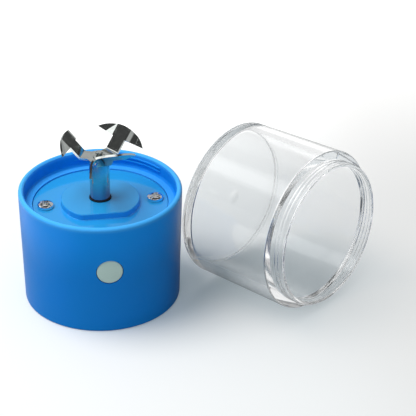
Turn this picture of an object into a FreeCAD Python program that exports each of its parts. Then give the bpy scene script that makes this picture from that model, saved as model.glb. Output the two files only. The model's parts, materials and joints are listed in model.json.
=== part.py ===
import FreeCAD
import Part
import math
import os

# Portable rechargeable herb grinder, in millimetres.
# The base stands on z = 0 with its axis on Z, its button towards -Y and its charging socket towards +Y.
# The clear cup is taken off and lies on its side to the right of the base.

# Base housing
RIM_R = 30.0
FOOT_R = 28.7
BASE_H = 43.9
FOOT_ROUND = 0.6
RIM_ROUND = 0.5
SOCKET_R = 28.0
SOCKET_DEPTH = 6.0
SOCKET_FILLET = 1.0
LEAD_IN = 0.6
CAVITY_R = 26.2
FLANGE_T = 1.8
POST_R = 3.0
POST_WEB = 2.4

# Deck plate with its raised boss
DECK_SEAT_R = 24.9
DECK_SHOULDER = 1.3
DECK_DROP = 0.5
DECK_T = 1.6
BOSS_R = 14.4
BOSS_FLAT = 11.9
BOSS_H = 2.4
BOSS_CORNER = 4.0
BOSS_ROUND = 0.4

# Bottom cover
COVER_SEAT_R = 26.9
COVER_T = 2.4
CRADLE_T = 2.4
BOARD_SLOT_H = 6.0
UPRIGHT_H = 6.0
UPRIGHT_X = 5.5
UPRIGHT_W = 3.0
UPRIGHT_LIP = 1.5
NOTCH_W = 6.0
NOTCH_H = 3.0

# Fasteners
SCREW_X = 20.15
SCREW_R = 1.5
SCREW_L = 10.0
PILOT_SPARE = 1.0
COVER_SCREW_L = 8.0
PAN_HEAD_R = 3.0
PAN_HEAD_H = 1.9
FLAT_HEAD_R = 2.8
FLAT_HEAD_SINK = 0.2
BLADE_SCREW_HEAD_R = 2.3
BLADE_SCREW_HEAD_H = 0.6
BLADE_SCREW_L = 6.0

# Cutter and its spindle
SPINDLE_R = 3.65
HUB_RISE = 12.5
BLADE_T = 0.8
BLADE_BLANK_R = 16.7
BLADE_HUB_R = 4.6
ARM_W = 5.8
ARM_FOLD_R = 6.4
ARM_BEND_R = 1.2
ARM_RISE = 47.6
ARM_AZIMUTH = 37.2
ARM_COUNT = 3
HEAD_CHORD = 5.4
WING_SWEEP = 5.0
CREASE_T = 3.4
CREASE_ANGLE = 4.0
CURL_T = 4.2
CURL_R = 2.0
CURL_ANGLE = 80.0

# Shaft seal
SEAL_R = 4.0
SEAL_FLANGE_R = 5.0
SEAL_FLANGE_H = 2.2
SEAL_PROUD = 0.6

# Motor
CAN_R = 12.2
CAN_LIFT = 7.4
CAN_WALL = 1.0
NOSE_R = 3.0
NOSE_H = 1.6
BUSH_R = 2.4
BUSH_L = 3.2
SHAFT_R = 1.15
SHAFT_TAIL = 0.6
SHAFT_IN_SPINDLE = 10.0
END_CAP_T = 3.0
END_BOSS_R = 3.6
END_BOSS_H = 1.8
MAGNET_T = 1.9
MAGNET_ARC = 130.0
MAGNET_OVERHANG = 2.0
AIR_GAP = 0.5
COIL_ROOM = 2.8
CORE_HUB_R = 3.0
POLE_W = 3.2
POLE_SHOE_T = 1.8
POLE_ARC = 104.0
COIL_OVERHANG = 2.2
COIL_HALF_W = 4.0
COIL_ROUND = 1.2
COMMUTATOR_R = 2.8
COMMUTATOR_L = 2.0
COMMUTATOR_SLOT = 0.4
BRUSH_L = 1.5
BRUSH_W = 2.0
BRUSH_H = 1.6
LEAF_T = 0.4
TAB_X = 6.8
TAB_W = 2.5
TAB_T = 0.5
TAB_DROP = 4.0
DAMPER_T = 1.0

# Button and switch
BUTTON_R = 4.7
BUTTON_DROP = 18.4
BUTTON_GAP = 0.25
BUTTON_LIP = 2.2
BUTTON_FLANGE = 1.0
BUTTON_FLANGE_T = 0.8
BUTTON_CROWN = 0.3
BUTTON_STEM_R = 2.0
BUTTON_STEM_L = 0.7
PLUNGER_R = 1.7
PLUNGER_OUT = 1.2
PLUNGER_IN = 1.2
BUTTON_TRAVEL = 0.8
SWITCH_W = 6.0
SWITCH_D = 3.5
SWITCH_ROUND = 0.5

# Boards, socket and cell
BOARD_T = 1.0
BOARD_W = 16.0
BOARD_HEADROOM = 2.8
BOARD_ROUND = 1.0
PORT_Z = 11.0
PORT_W = 8.94
PORT_H = 3.26
PORT_L = 7.3
PORT_WALL = 0.3
PORT_BACK_T = 1.0
PORT_ON_BOARD = 4.5
PORT_INSET = 1.2
PORT_GAP = 0.2
TONGUE_W = 6.7
TONGUE_T = 0.7
TONGUE_L = 5.2
CHARGE_BOARD_W = 14.0
CHARGE_BOARD_L = 10.4
BOARD_POST_R = 1.5
CELL_GAP = 0.7
CELL_HEADROOM = 1.6
CELL_AZIMUTH = 150.0
CELL_CAP_H = 0.6
CELL_CAP_R = 2.5
CRIMP_DROP = 2.4
CRIMP_HALF = 0.8
CRIMP_DEPTH = 0.5
LEAD_R = 0.5
LEAD_PITCH = 1.6
LEAD_BEND = 0.45
LEAD_ROUTE_GAP = 1.7
LEAD_END = 3.0
BATTERY_LEAD_DROP = 5.0
MOTOR_LEAD_X = 3.0
CHARGE_LEAD_RISE = 6.0

# Grinding cup
CUP_COLLAR_R = 30.2
CUP_END_R = 29.2
CUP_BODY_L = 40.0
CUP_NECK_R = 27.0
CUP_NECK_L = 5.8
CUP_BORE_R = 25.75
CUP_FLOOR = 2.5
CUP_END_ROUND = 1.0
CUP_FLOOR_FILLET = 1.2
CUP_LIP_ROUND = 0.4
CUP_AZIMUTH = -48.8
CUP_COLLAR_X = 77.0
CUP_COLLAR_Y = -18.8

# Clearances
RUNNING_GAP = 0.05
FIT_GAP = 0.03
BODY_GAP = 0.3
SEAT_GAP = 0.2

# Levels and places worked out from the sizes above
ORIGIN = FreeCAD.Vector(0, 0, 0)
X_AXIS = FreeCAD.Vector(1, 0, 0)
Y_AXIS = FreeCAD.Vector(0, 1, 0)
Z_AXIS = FreeCAD.Vector(0, 0, 1)
LEDGE_Z = BASE_H - SOCKET_DEPTH
DECK_TOP = LEDGE_Z - DECK_DROP
DECK_BOTTOM = DECK_TOP - DECK_T
HUB_Z = BASE_H + HUB_RISE
FLANGE_BOTTOM = DECK_BOTTOM - FLANGE_T
BOSS_TOP = DECK_TOP + BOSS_H
SEAL_STEP_Z = DECK_BOTTOM + SEAL_FLANGE_H
CAN_TOP = DECK_BOTTOM
CAN_BOTTOM = COVER_T + CAN_LIFT
CAN_BORE_R = CAN_R - CAN_WALL
END_CAP_TOP = CAN_BOTTOM + END_CAP_T
MOTOR_MID_Z = 0.5 * (END_CAP_TOP + CAN_TOP - CAN_WALL)
MAGNET_BORE_R = CAN_BORE_R - MAGNET_T
CORE_R = MAGNET_BORE_R - AIR_GAP
CORE_L = CAN_TOP - CAN_WALL - END_CAP_TOP - 2 * (COIL_OVERHANG + COIL_ROOM)
CORE_Z = MOTOR_MID_Z - CORE_L / 2
COIL_BOTTOM = CORE_Z - COIL_OVERHANG
CRADLE_TOP = CAN_BOTTOM - DAMPER_T
SPINDLE_BOTTOM = DECK_BOTTOM + NOSE_H + BODY_GAP
BLADE_BOTTOM = HUB_Z - BLADE_T / 2
BLADE_TOP = HUB_Z + BLADE_T / 2
BUTTON_Z = BASE_H - BUTTON_DROP
BUTTON_FACE_R = FOOT_R + (RIM_R - FOOT_R) * BUTTON_Z / BASE_H
POCKET_R = BUTTON_FACE_R - BUTTON_LIP
FLANGE_FRONT_R = POCKET_R - BODY_GAP
STEM_END_R = FLANGE_FRONT_R - BUTTON_FLANGE_T - BUTTON_STEM_L
SWITCH_FRONT_R = STEM_END_R - PLUNGER_OUT
BOARD_FRONT_R = SWITCH_FRONT_R - SWITCH_D
BOARD_BACK_R = BOARD_FRONT_R - BOARD_T
PORT_MOUTH_R = FOOT_R + (RIM_R - FOOT_R) * PORT_Z / BASE_H - PORT_INSET
BOARD_TOP = DECK_BOTTOM - BOARD_HEADROOM
CHARGE_BOARD_TOP = PORT_Z - PORT_H / 2
CHARGE_BOARD_END = PORT_MOUTH_R - PORT_L + PORT_ON_BOARD
CELL_PITCH_R = (CAN_R + CAVITY_R) / 2
CELL_R = (CAVITY_R - CAN_R) / 2 - CELL_GAP
CELL_X = CELL_PITCH_R * math.cos(math.radians(CELL_AZIMUTH))
CELL_Y = CELL_PITCH_R * math.sin(math.radians(CELL_AZIMUTH))
CELL_TOP = FLANGE_BOTTOM - CELL_HEADROOM
LEAD_ROUTE_R = CAN_R + LEAD_ROUTE_GAP + LEAD_R
CUP_TILT = math.degrees(math.atan2(CUP_COLLAR_R - CUP_END_R, CUP_BODY_L))


def vec(x, y, z):
    return FreeCAD.Vector(x, y, z)


def box(x0, x1, y0, y1, z0, z1):
    return Part.makeBox(x1 - x0, y1 - y0, z1 - z0, vec(x0, y0, z0))


def rod(radius, z0, z1, x=0.0, y=0.0):
    return Part.makeCylinder(radius, z1 - z0, vec(x, y, z0), Z_AXIS)


def tube(outer, inner, z0, z1, x=0.0, y=0.0):
    return rod(outer, z0, z1, x, y).cut(rod(inner, z0, z1, x, y))


def front_rod(radius, r0, r1, z):
    # A rod along -Y from r0 to r1 in front of the axis
    return Part.makeCylinder(radius, r1 - r0, vec(0, -r0, z), -Y_AXIS)


def sector(outer, inner, z0, z1, start, sweep):
    # Part of a ring between two radii, from the start angle through the sweep
    whole = Part.makeCylinder(outer, z1 - z0, vec(0, 0, z0), Z_AXIS, sweep)
    piece = whole.cut(rod(inner, z0, z1))
    piece.rotate(ORIGIN, Z_AXIS, start)
    return piece


def lathe(profile):
    # A solid of revolution about Z from (radius, height) points
    points = [vec(r, 0, z) for r, z in profile]
    face = Part.Face(Part.makePolygon(points + points[:1]))
    return face.revolve(ORIGIN, Z_AXIS, 360)


def round_ring(shape, ring_radius, z, fillet):
    # Fillets the circular edge of the given radius at height z
    edges = []
    for edge in shape.Edges:
        if isinstance(edge.Curve, Part.Circle):
            same_radius = abs(edge.Curve.Radius - ring_radius) < 1e-4
            same_level = abs(edge.Curve.Center.z - z) < 1e-4
            if same_radius and same_level:
                edges.append(edge)
    return shape.makeFillet(fillet, edges)


def fuse(shapes):
    return shapes[0].multiFuse(shapes[1:]).removeSplitter()


def turned(shape, axis, angle):
    copy = shape.copy()
    copy.rotate(ORIGIN, axis, angle)
    return copy


def moved(shape, x, y, z):
    copy = shape.copy()
    copy.translate(vec(x, y, z))
    return copy


def mirrored_x(shape):
    return [shape, shape.mirror(ORIGIN, X_AXIS)]


def slot_prism(width, height, y0, y1, z):
    # A rod with a rounded slot section, centred on x = 0 at height z, along Y
    half = (width - height) / 2
    core = box(-half, half, y0, y1, z - height / 2, z + height / 2)
    ends = []
    for x in (-half, half):
        ends.append(Part.makeCylinder(height / 2, y1 - y0, vec(x, y0, z), Y_AXIS))
    return fuse([core] + ends)


def base_housing():
    shell = lathe([
        (FOOT_R, 0),
        (RIM_R, BASE_H),
        (SOCKET_R + LEAD_IN, BASE_H),
        (SOCKET_R, BASE_H - LEAD_IN),
        (SOCKET_R, LEDGE_Z),
        (DECK_SEAT_R, LEDGE_Z),
        (DECK_SEAT_R, DECK_BOTTOM),
        (DECK_SEAT_R - DECK_SHOULDER, DECK_BOTTOM),
        (DECK_SEAT_R - DECK_SHOULDER, FLANGE_BOTTOM),
        (CAVITY_R, FLANGE_BOTTOM),
        (CAVITY_R, COVER_T),
        (COVER_SEAT_R, COVER_T),
        (COVER_SEAT_R, 0),
    ])
    shell = round_ring(shell, FOOT_R, 0, FOOT_ROUND)
    shell = round_ring(shell, RIM_R, BASE_H, RIM_ROUND)
    shell = round_ring(shell, SOCKET_R, LEDGE_Z, SOCKET_FILLET)
    post = rod(POST_R, COVER_T, DECK_BOTTOM, SCREW_X)
    wall_mid = (CAVITY_R + FOOT_R) / 2
    web = box(SCREW_X, wall_mid, -POST_WEB / 2, POST_WEB / 2, COVER_T, FLANGE_BOTTOM)
    shell = fuse([shell] + mirrored_x(post) + mirrored_x(web))
    pilot = SCREW_R + FIT_GAP
    depth = SCREW_L + PILOT_SPARE
    for x in (-SCREW_X, SCREW_X):
        shell = shell.cut(rod(pilot, DECK_BOTTOM - depth, DECK_BOTTOM, x))
        shell = shell.cut(rod(pilot, COVER_T, COVER_T + depth, x))
    shell = shell.cut(front_rod(BUTTON_R + BUTTON_GAP, BOARD_FRONT_R, RIM_R, BUTTON_Z))
    pocket = BUTTON_R + BUTTON_FLANGE + BUTTON_GAP
    shell = shell.cut(front_rod(pocket, BOARD_FRONT_R, POCKET_R, BUTTON_Z))
    port = slot_prism(PORT_W + 2 * PORT_GAP, PORT_H + 2 * PORT_GAP, CHARGE_BOARD_END, RIM_R, PORT_Z)
    return shell.cut(port)


def bottom_cover():
    radius = COVER_SEAT_R - SEAT_GAP
    plate = rod(radius, 0, COVER_T)
    cradle = tube(CAN_R, CAN_R - CRADLE_T, COVER_T, CRADLE_TOP)
    notch_y = CRADLE_T - CAN_R + NOTCH_H
    lead_notch = box(-NOTCH_W / 2, NOTCH_W / 2, -CAN_R, notch_y, CRADLE_TOP - NOTCH_H, CRADLE_TOP)
    cradle = cradle.cut(lead_notch)
    upright = box(
        UPRIGHT_X - UPRIGHT_W / 2,
        UPRIGHT_X + UPRIGHT_W / 2,
        -BOARD_FRONT_R - UPRIGHT_LIP,
        -BOARD_BACK_R + UPRIGHT_LIP,
        COVER_T,
        BOARD_SLOT_H + UPRIGHT_H,
    )
    board_post_y = CHARGE_BOARD_END - CHARGE_BOARD_L / 2
    board_post_z = CHARGE_BOARD_TOP - BOARD_T
    board_post_x = CHARGE_BOARD_W / 2 - 1.5 * BOARD_POST_R
    board_post = rod(BOARD_POST_R, COVER_T, board_post_z, board_post_x, board_post_y)
    cover = fuse([plate, cradle] + mirrored_x(upright) + mirrored_x(board_post))
    slot_half = UPRIGHT_X + UPRIGHT_W
    slot_front = -BOARD_FRONT_R - RUNNING_GAP
    slot_back = -BOARD_BACK_R + RUNNING_GAP
    cover = cover.cut(box(-slot_half, slot_half, slot_front, slot_back, BOARD_SLOT_H, BOARD_TOP))
    for x in (-SCREW_X, SCREW_X):
        cover = cover.cut(moved(flat_screw(FIT_GAP), x, 0, 0))
        cover = cover.cut(rod(FLAT_HEAD_R + FIT_GAP, 0, FLAT_HEAD_SINK, x))
    return cover


def flat_screw(grow):
    # A countersunk screw pointing up; grow widens it into its own hole
    head = FLAT_HEAD_R + grow
    shank = SCREW_R + grow
    return lathe([
        (0, FLAT_HEAD_SINK),
        (head, FLAT_HEAD_SINK),
        (shank, FLAT_HEAD_SINK + FLAT_HEAD_R - SCREW_R),
        (shank, COVER_T + COVER_SCREW_L),
        (0, COVER_T + COVER_SCREW_L),
    ])


def cover_screws():
    screw = flat_screw(0)
    return Part.makeCompound([moved(screw, x, 0, 0) for x in (-SCREW_X, SCREW_X)])


def pan_screw(head_r, head_h, shank_r, length):
    # A domed screw standing on z = 0 with its shank pointing down
    side = 0.45 * head_h
    top = 0.5 * head_r
    crown = Part.Arc(vec(head_r, 0, side), vec(0.85 * head_r, 0, 0.84 * head_h), vec(top, 0, head_h))
    outline = [vec(top, 0, head_h), vec(0, 0, head_h), vec(0, 0, -length), vec(shank_r, 0, -length)]
    outline += [vec(shank_r, 0, 0), vec(head_r, 0, 0), vec(head_r, 0, side)]
    wire = Part.Wire([crown.toShape()] + Part.makePolygon(outline).Edges)
    return Part.Face(wire).revolve(ORIGIN, Z_AXIS, 360)


def deck_screws():
    screw = pan_screw(PAN_HEAD_R, PAN_HEAD_H, SCREW_R, SCREW_L)
    return Part.makeCompound([moved(screw, x, 0, DECK_TOP) for x in (-SCREW_X, SCREW_X)])


def deck_boss():
    round_boss = rod(BOSS_R, DECK_TOP, BOSS_TOP)
    flats = box(-BOSS_R, BOSS_R, -BOSS_FLAT, BOSS_FLAT, DECK_TOP, BOSS_TOP)
    boss = round_boss.common(flats)
    corners = [e for e in boss.Edges if abs(e.Vertexes[0].Z - e.Vertexes[-1].Z) > BOSS_H / 2]
    corners = [e for e in corners if abs(abs(e.Vertexes[0].Y) - BOSS_FLAT) < 1e-3]
    boss = boss.makeFillet(BOSS_CORNER, corners)
    top = [e for e in boss.Edges if all(abs(v.Z - BOSS_TOP) < 1e-4 for v in e.Vertexes)]
    return boss.makeFillet(BOSS_ROUND, top)


def deck_plate():
    plate = rod(DECK_SEAT_R - SEAT_GAP, DECK_BOTTOM, DECK_TOP)
    deck = fuse([plate, deck_boss()])
    deck = deck.cut(rod(SEAL_R, DECK_BOTTOM, BOSS_TOP))
    deck = deck.cut(rod(SEAL_FLANGE_R, DECK_BOTTOM, SEAL_STEP_Z))
    for x in (-SCREW_X, SCREW_X):
        deck = deck.cut(rod(SCREW_R + RUNNING_GAP, DECK_BOTTOM, DECK_TOP, x))
    return deck


def shaft_seal():
    inner = SPINDLE_R + RUNNING_GAP
    top = BOSS_TOP + SEAL_PROUD
    return lathe([
        (inner, DECK_BOTTOM),
        (SEAL_FLANGE_R, DECK_BOTTOM),
        (SEAL_FLANGE_R, SEAL_STEP_Z),
        (SEAL_R, SEAL_STEP_Z),
        (SEAL_R, top),
        (inner, top),
    ])


def motor_can():
    return lathe([
        (CAN_BORE_R, CAN_BOTTOM),
        (CAN_R, CAN_BOTTOM),
        (CAN_R, CAN_TOP),
        (NOSE_R, CAN_TOP),
        (NOSE_R, CAN_TOP + NOSE_H),
        (BUSH_R, CAN_TOP + NOSE_H),
        (BUSH_R, CAN_TOP - CAN_WALL),
        (CAN_BORE_R, CAN_TOP - CAN_WALL),
    ])


def motor_bushes():
    bore = SHAFT_R + FIT_GAP
    front_top = CAN_TOP + NOSE_H
    front = tube(BUSH_R, bore, front_top - BUSH_L, front_top)
    rear_bottom = CAN_BOTTOM - END_BOSS_H
    rear = tube(BUSH_R, bore, rear_bottom, rear_bottom + BUSH_L)
    return Part.makeCompound([front, rear])


def motor_magnets():
    z0 = CORE_Z - MAGNET_OVERHANG
    z1 = CORE_Z + CORE_L + MAGNET_OVERHANG
    start = 90 - MAGNET_ARC / 2
    arcs = [sector(CAN_BORE_R, MAGNET_BORE_R, z0, z1, start + turn, MAGNET_ARC) for turn in (0, 180)]
    return Part.makeCompound(arcs)


def tab_slot(grow):
    half_w = TAB_W / 2 + grow
    half_t = TAB_T / 2 + grow
    return box(TAB_X - half_t, TAB_X + half_t, -half_w, half_w, CAN_BOTTOM - TAB_DROP, END_CAP_TOP)


def motor_end_cap():
    disc = rod(CAN_BORE_R, CAN_BOTTOM, END_CAP_TOP)
    boss = rod(END_BOSS_R, CAN_BOTTOM - END_BOSS_H, CAN_BOTTOM)
    cap = fuse([disc, boss])
    rear_bottom = CAN_BOTTOM - END_BOSS_H
    cap = cap.cut(rod(BUSH_R, rear_bottom, rear_bottom + BUSH_L))
    cap = cap.cut(rod(SHAFT_R + BODY_GAP, rear_bottom, END_CAP_TOP))
    for slot in mirrored_x(tab_slot(FIT_GAP)):
        cap = cap.cut(slot)
    return cap


def motor_brushes():
    inner = COMMUTATOR_R + 2 * RUNNING_GAP
    brush_bottom = END_CAP_TOP + LEAF_T
    block = box(inner, inner + BRUSH_L, -BRUSH_W / 2, BRUSH_W / 2, brush_bottom, brush_bottom + BRUSH_H)
    leaf_x = inner + BRUSH_L
    leaf = box(leaf_x, leaf_x + LEAF_T, -BRUSH_W / 2, BRUSH_W / 2, END_CAP_TOP, brush_bottom + BRUSH_H)
    foot_end = TAB_X + TAB_T / 2
    foot = box(leaf_x, foot_end, -BRUSH_W / 2, BRUSH_W / 2, END_CAP_TOP, END_CAP_TOP + LEAF_T)
    return Part.makeCompound(mirrored_x(fuse([block, leaf, foot])))


def motor_terminals():
    return Part.makeCompound(mirrored_x(tab_slot(0)))


def motor_damper():
    return tube(CAN_R, CAN_R - CRADLE_T, CRADLE_TOP, CAN_BOTTOM)


def motor_shaft():
    tail = CAN_BOTTOM - END_BOSS_H - SHAFT_TAIL
    return rod(SHAFT_R, tail, SPINDLE_BOTTOM + SHAFT_IN_SPINDLE)


def armature_core():
    z0 = CORE_Z
    z1 = CORE_Z + CORE_L
    pieces = [rod(CORE_HUB_R, z0, z1)]
    for k in range(3):
        neck = box(0, CORE_R - POLE_SHOE_T / 2, -POLE_W / 2, POLE_W / 2, z0, z1)
        pieces.append(turned(neck, Z_AXIS, 120 * k))
        pieces.append(sector(CORE_R, CORE_R - POLE_SHOE_T, z0, z1, 120 * k - POLE_ARC / 2, POLE_ARC))
    return fuse(pieces).cut(rod(SHAFT_R, z0, z1))


def armature_windings():
    z0 = COIL_BOTTOM
    z1 = CORE_Z + CORE_L + COIL_OVERHANG
    outer = CORE_R - POLE_SHOE_T - BODY_GAP
    coil = box(CORE_HUB_R + BODY_GAP, outer, -COIL_HALF_W, COIL_HALF_W, z0, z1)
    along = [e for e in coil.Edges if abs(e.Vertexes[0].X - e.Vertexes[-1].X) > 1]
    coil = coil.makeFillet(COIL_ROUND, along).cut(armature_core())
    return Part.makeCompound([turned(coil, Z_AXIS, 120 * k) for k in range(3)])


def commutator():
    z0 = END_CAP_TOP + BODY_GAP
    z1 = COIL_BOTTOM
    ring = tube(COMMUTATOR_R, SHAFT_R, z0, z1)
    groove_floor = COMMUTATOR_R - 2 * COMMUTATOR_SLOT
    half = COMMUTATOR_SLOT / 2
    for k in range(3):
        groove = box(groove_floor, COMMUTATOR_R + COMMUTATOR_SLOT, -half, half, z0, z0 + COMMUTATOR_L)
        ring = ring.cut(turned(groove, Z_AXIS, 60 + 120 * k))
    return ring


def blade_spindle():
    spindle = rod(SPINDLE_R, SPINDLE_BOTTOM, BLADE_BOTTOM)
    spindle = spindle.cut(rod(SHAFT_R, SPINDLE_BOTTOM, SPINDLE_BOTTOM + SHAFT_IN_SPINDLE))
    return spindle.cut(rod(SCREW_R, BLADE_BOTTOM - BLADE_SCREW_L, BLADE_BOTTOM))


def bent_strip(mid_radius, angle, width):
    # Sheet that starts at the origin along +X and bends up towards +Z, with its width along +Y
    inner = mid_radius - BLADE_T / 2
    outer = mid_radius + BLADE_T / 2
    rays = []
    for part in (0, 0.5, 1):
        a = math.radians(part * angle)
        rays.append((math.sin(a), -math.cos(a)))
    inside = [vec(inner * x, 0, mid_radius + inner * z) for x, z in rays]
    outside = [vec(outer * x, 0, mid_radius + outer * z) for x, z in rays]
    edges = [
        Part.Arc(*inside).toShape(),
        Part.makeLine(inside[2], outside[2]),
        Part.Arc(*reversed(outside)).toShape(),
        Part.makeLine(outside[0], inside[0]),
    ]
    return Part.Face(Part.Wire(edges)).extrude(vec(0, width, 0))


def wing_edge(t):
    # Where the head begins along the arm, at a distance t across it
    return HEAD_CHORD + max(0.0, abs(t) - ARM_W / 2) * math.tan(math.radians(WING_SWEEP))


def head_sheet(t0, t1):
    # The flat blank of the head between two distances across the arm; x runs along the arm
    stops = [t0] + [t for t in (-ARM_W / 2, ARM_W / 2) if t0 < t < t1] + [t1]
    outline = [vec(wing_edge(t), t, -BLADE_T) for t in stops]
    outline += [vec(BLADE_BLANK_R, t1, -BLADE_T), vec(BLADE_BLANK_R, t0, -BLADE_T)]
    region = Part.Face(Part.makePolygon(outline + outline[:1])).extrude(vec(0, 0, 2 * BLADE_T))
    return rod(BLADE_BLANK_R, -BLADE_T / 2, BLADE_T / 2, -ARM_FOLD_R).common(region)


def blank_edge(t):
    # Where the round blank ends along the arm, at a distance t across it
    return math.sqrt(BLADE_BLANK_R ** 2 - t ** 2) - ARM_FOLD_R


def creased_wing():
    # The wing on the leading side, tipped slightly up about its crease
    wing = moved(head_sheet(CREASE_T, BLADE_BLANK_R), 0, -CREASE_T, 0)
    wing = turned(wing, X_AXIS, CREASE_ANGLE)
    start = wing_edge(CREASE_T)
    crease = Part.makeCylinder(BLADE_T / 2, blank_edge(CREASE_T) - start, vec(start, 0, 0), X_AXIS)
    return moved(fuse([wing, crease]), 0, CREASE_T, 0)


def curl_trim(near_x, far_x, across, waste_x):
    # A wedge that trims one slanted edge of the curl, from near_x at its start to far_x at its end
    normal = X_AXIS.cross(across)
    normal.normalize()
    step = vec(far_x - near_x, 0, 0) + across
    start = vec(near_x, 0, 0) - step - normal * CURL_R
    end = start + step * 3
    corners = [start, end, vec(waste_x, end.y, end.z), vec(waste_x, start.y, start.z), start]
    return Part.Face(Part.makePolygon(corners)).extrude(normal * 2 * CURL_R)


def curled_wing():
    # The wing on the trailing side, rolled down and outwards
    unrolled = CURL_R * math.radians(CURL_ANGLE)
    curl_end = CURL_T + unrolled
    wide_end = blank_edge(CURL_T)
    bend = bent_strip(CURL_R, CURL_ANGLE, wide_end - HEAD_CHORD)
    bend = turned(turned(bend, X_AXIS, 180), Z_AXIS, -90)
    bend = moved(bend, wide_end, 0, 0)
    drop = CURL_R * (1 - math.cos(math.radians(CURL_ANGLE)))
    reach = CURL_R * math.sin(math.radians(CURL_ANGLE))
    across = vec(0, -reach, -drop)
    bend = bend.cut(curl_trim(wide_end, blank_edge(curl_end), across, 2 * BLADE_BLANK_R))
    bend = bend.cut(curl_trim(wing_edge(CURL_T), wing_edge(curl_end), across, -BLADE_BLANK_R))
    tip = moved(head_sheet(-BLADE_BLANK_R, -curl_end), 0, curl_end, 0)
    tip = moved(turned(tip, X_AXIS, CURL_ANGLE), 0, -reach, -drop)
    return moved(fuse([bend, tip]), 0, -CURL_T, 0)


def blade_arm():
    # One arm along +X: bend, straight strip, and anchor-shaped head
    setback = ARM_BEND_R * math.tan(math.radians(ARM_RISE / 2))
    strip = box(setback, HEAD_CHORD + BLADE_T, -ARM_W / 2, ARM_W / 2, -BLADE_T / 2, BLADE_T / 2)
    raised = fuse([strip, head_sheet(-CURL_T, CREASE_T), creased_wing(), curled_wing()])
    raised = moved(turned(raised, Y_AXIS, -ARM_RISE), ARM_FOLD_R, 0, HUB_Z)
    bend = bent_strip(ARM_BEND_R, ARM_RISE, ARM_W)
    bend = moved(bend, ARM_FOLD_R - setback, -ARM_W / 2, HUB_Z)
    root = box(0, ARM_FOLD_R - setback, -ARM_W / 2, ARM_W / 2, BLADE_BOTTOM, BLADE_TOP)
    return fuse([root, bend, raised])


def blade():
    arm = blade_arm()
    pieces = [rod(BLADE_HUB_R, BLADE_BOTTOM, BLADE_TOP)]
    for k in range(ARM_COUNT):
        pieces.append(turned(arm, Z_AXIS, ARM_AZIMUTH + 360 * k / ARM_COUNT))
    return fuse(pieces).cut(rod(SCREW_R + FIT_GAP, BLADE_BOTTOM, BLADE_TOP))


def blade_screw():
    length = BLADE_T + BLADE_SCREW_L
    screw = pan_screw(BLADE_SCREW_HEAD_R, BLADE_SCREW_HEAD_H, SCREW_R, length)
    return moved(screw, 0, 0, BLADE_TOP)


def push_button():
    back = FLANGE_FRONT_R - BUTTON_FLANGE_T
    flange = front_rod(BUTTON_R + BUTTON_FLANGE, back, FLANGE_FRONT_R, BUTTON_Z)
    cap = front_rod(BUTTON_R, back, BUTTON_FACE_R, BUTTON_Z)
    crown_r = (BUTTON_R ** 2 + BUTTON_CROWN ** 2) / (2 * BUTTON_CROWN)
    crown = Part.makeSphere(crown_r, vec(0, crown_r - BUTTON_FACE_R, BUTTON_Z))
    stem = front_rod(BUTTON_STEM_R, STEM_END_R, back, BUTTON_Z)
    return fuse([flange, cap.common(crown), stem])


def switch_body():
    half = SWITCH_W / 2
    low = BUTTON_Z - half
    body = box(-half, half, -SWITCH_FRONT_R, -BOARD_FRONT_R, low, BUTTON_Z + half)
    upright = [e for e in body.Edges if abs(e.Vertexes[0].Y - e.Vertexes[-1].Y) > 1]
    body = body.makeFillet(SWITCH_ROUND, upright)
    depth = PLUNGER_IN + BUTTON_TRAVEL + BODY_GAP
    return body.cut(front_rod(PLUNGER_R + RUNNING_GAP, SWITCH_FRONT_R - depth, SWITCH_FRONT_R, BUTTON_Z))


def switch_plunger():
    return front_rod(PLUNGER_R, SWITCH_FRONT_R - PLUNGER_IN, STEM_END_R, BUTTON_Z)


def control_board():
    half = BOARD_W / 2
    board = box(-half, half, -BOARD_FRONT_R, -BOARD_BACK_R, BOARD_SLOT_H, BOARD_TOP)
    corners = [e for e in board.Edges if abs(e.Vertexes[0].Y - e.Vertexes[-1].Y) > BOARD_T / 2]
    return board.makeFillet(BOARD_ROUND, corners)


def charge_board():
    half = CHARGE_BOARD_W / 2
    y0 = CHARGE_BOARD_END - CHARGE_BOARD_L
    return box(-half, half, y0, CHARGE_BOARD_END, CHARGE_BOARD_TOP - BOARD_T, CHARGE_BOARD_TOP)


def charge_socket():
    back = PORT_MOUTH_R - PORT_L
    shell = slot_prism(PORT_W, PORT_H, back, PORT_MOUTH_R, PORT_Z)
    inner_w = PORT_W - 2 * PORT_WALL
    inner_h = PORT_H - 2 * PORT_WALL
    return shell.cut(slot_prism(inner_w, inner_h, back + PORT_BACK_T, PORT_MOUTH_R, PORT_Z))


def socket_tongue():
    back = PORT_MOUTH_R - PORT_L + PORT_BACK_T
    half_w = TONGUE_W / 2
    half_t = TONGUE_T / 2
    return box(-half_w, half_w, back, back + TONGUE_L, PORT_Z - half_t, PORT_Z + half_t)


def battery_cell():
    shoulder = CELL_TOP - CELL_CAP_H
    crimp = CELL_TOP - CRIMP_DROP
    cell = lathe([
        (0, COVER_T),
        (CELL_R, COVER_T),
        (CELL_R, crimp - CRIMP_HALF),
        (CELL_R - CRIMP_DEPTH, crimp),
        (CELL_R, crimp + CRIMP_HALF),
        (CELL_R, shoulder),
        (CELL_CAP_R, shoulder),
        (CELL_CAP_R, CELL_TOP),
        (0, CELL_TOP),
    ])
    return moved(cell, CELL_X, CELL_Y, 0)


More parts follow.
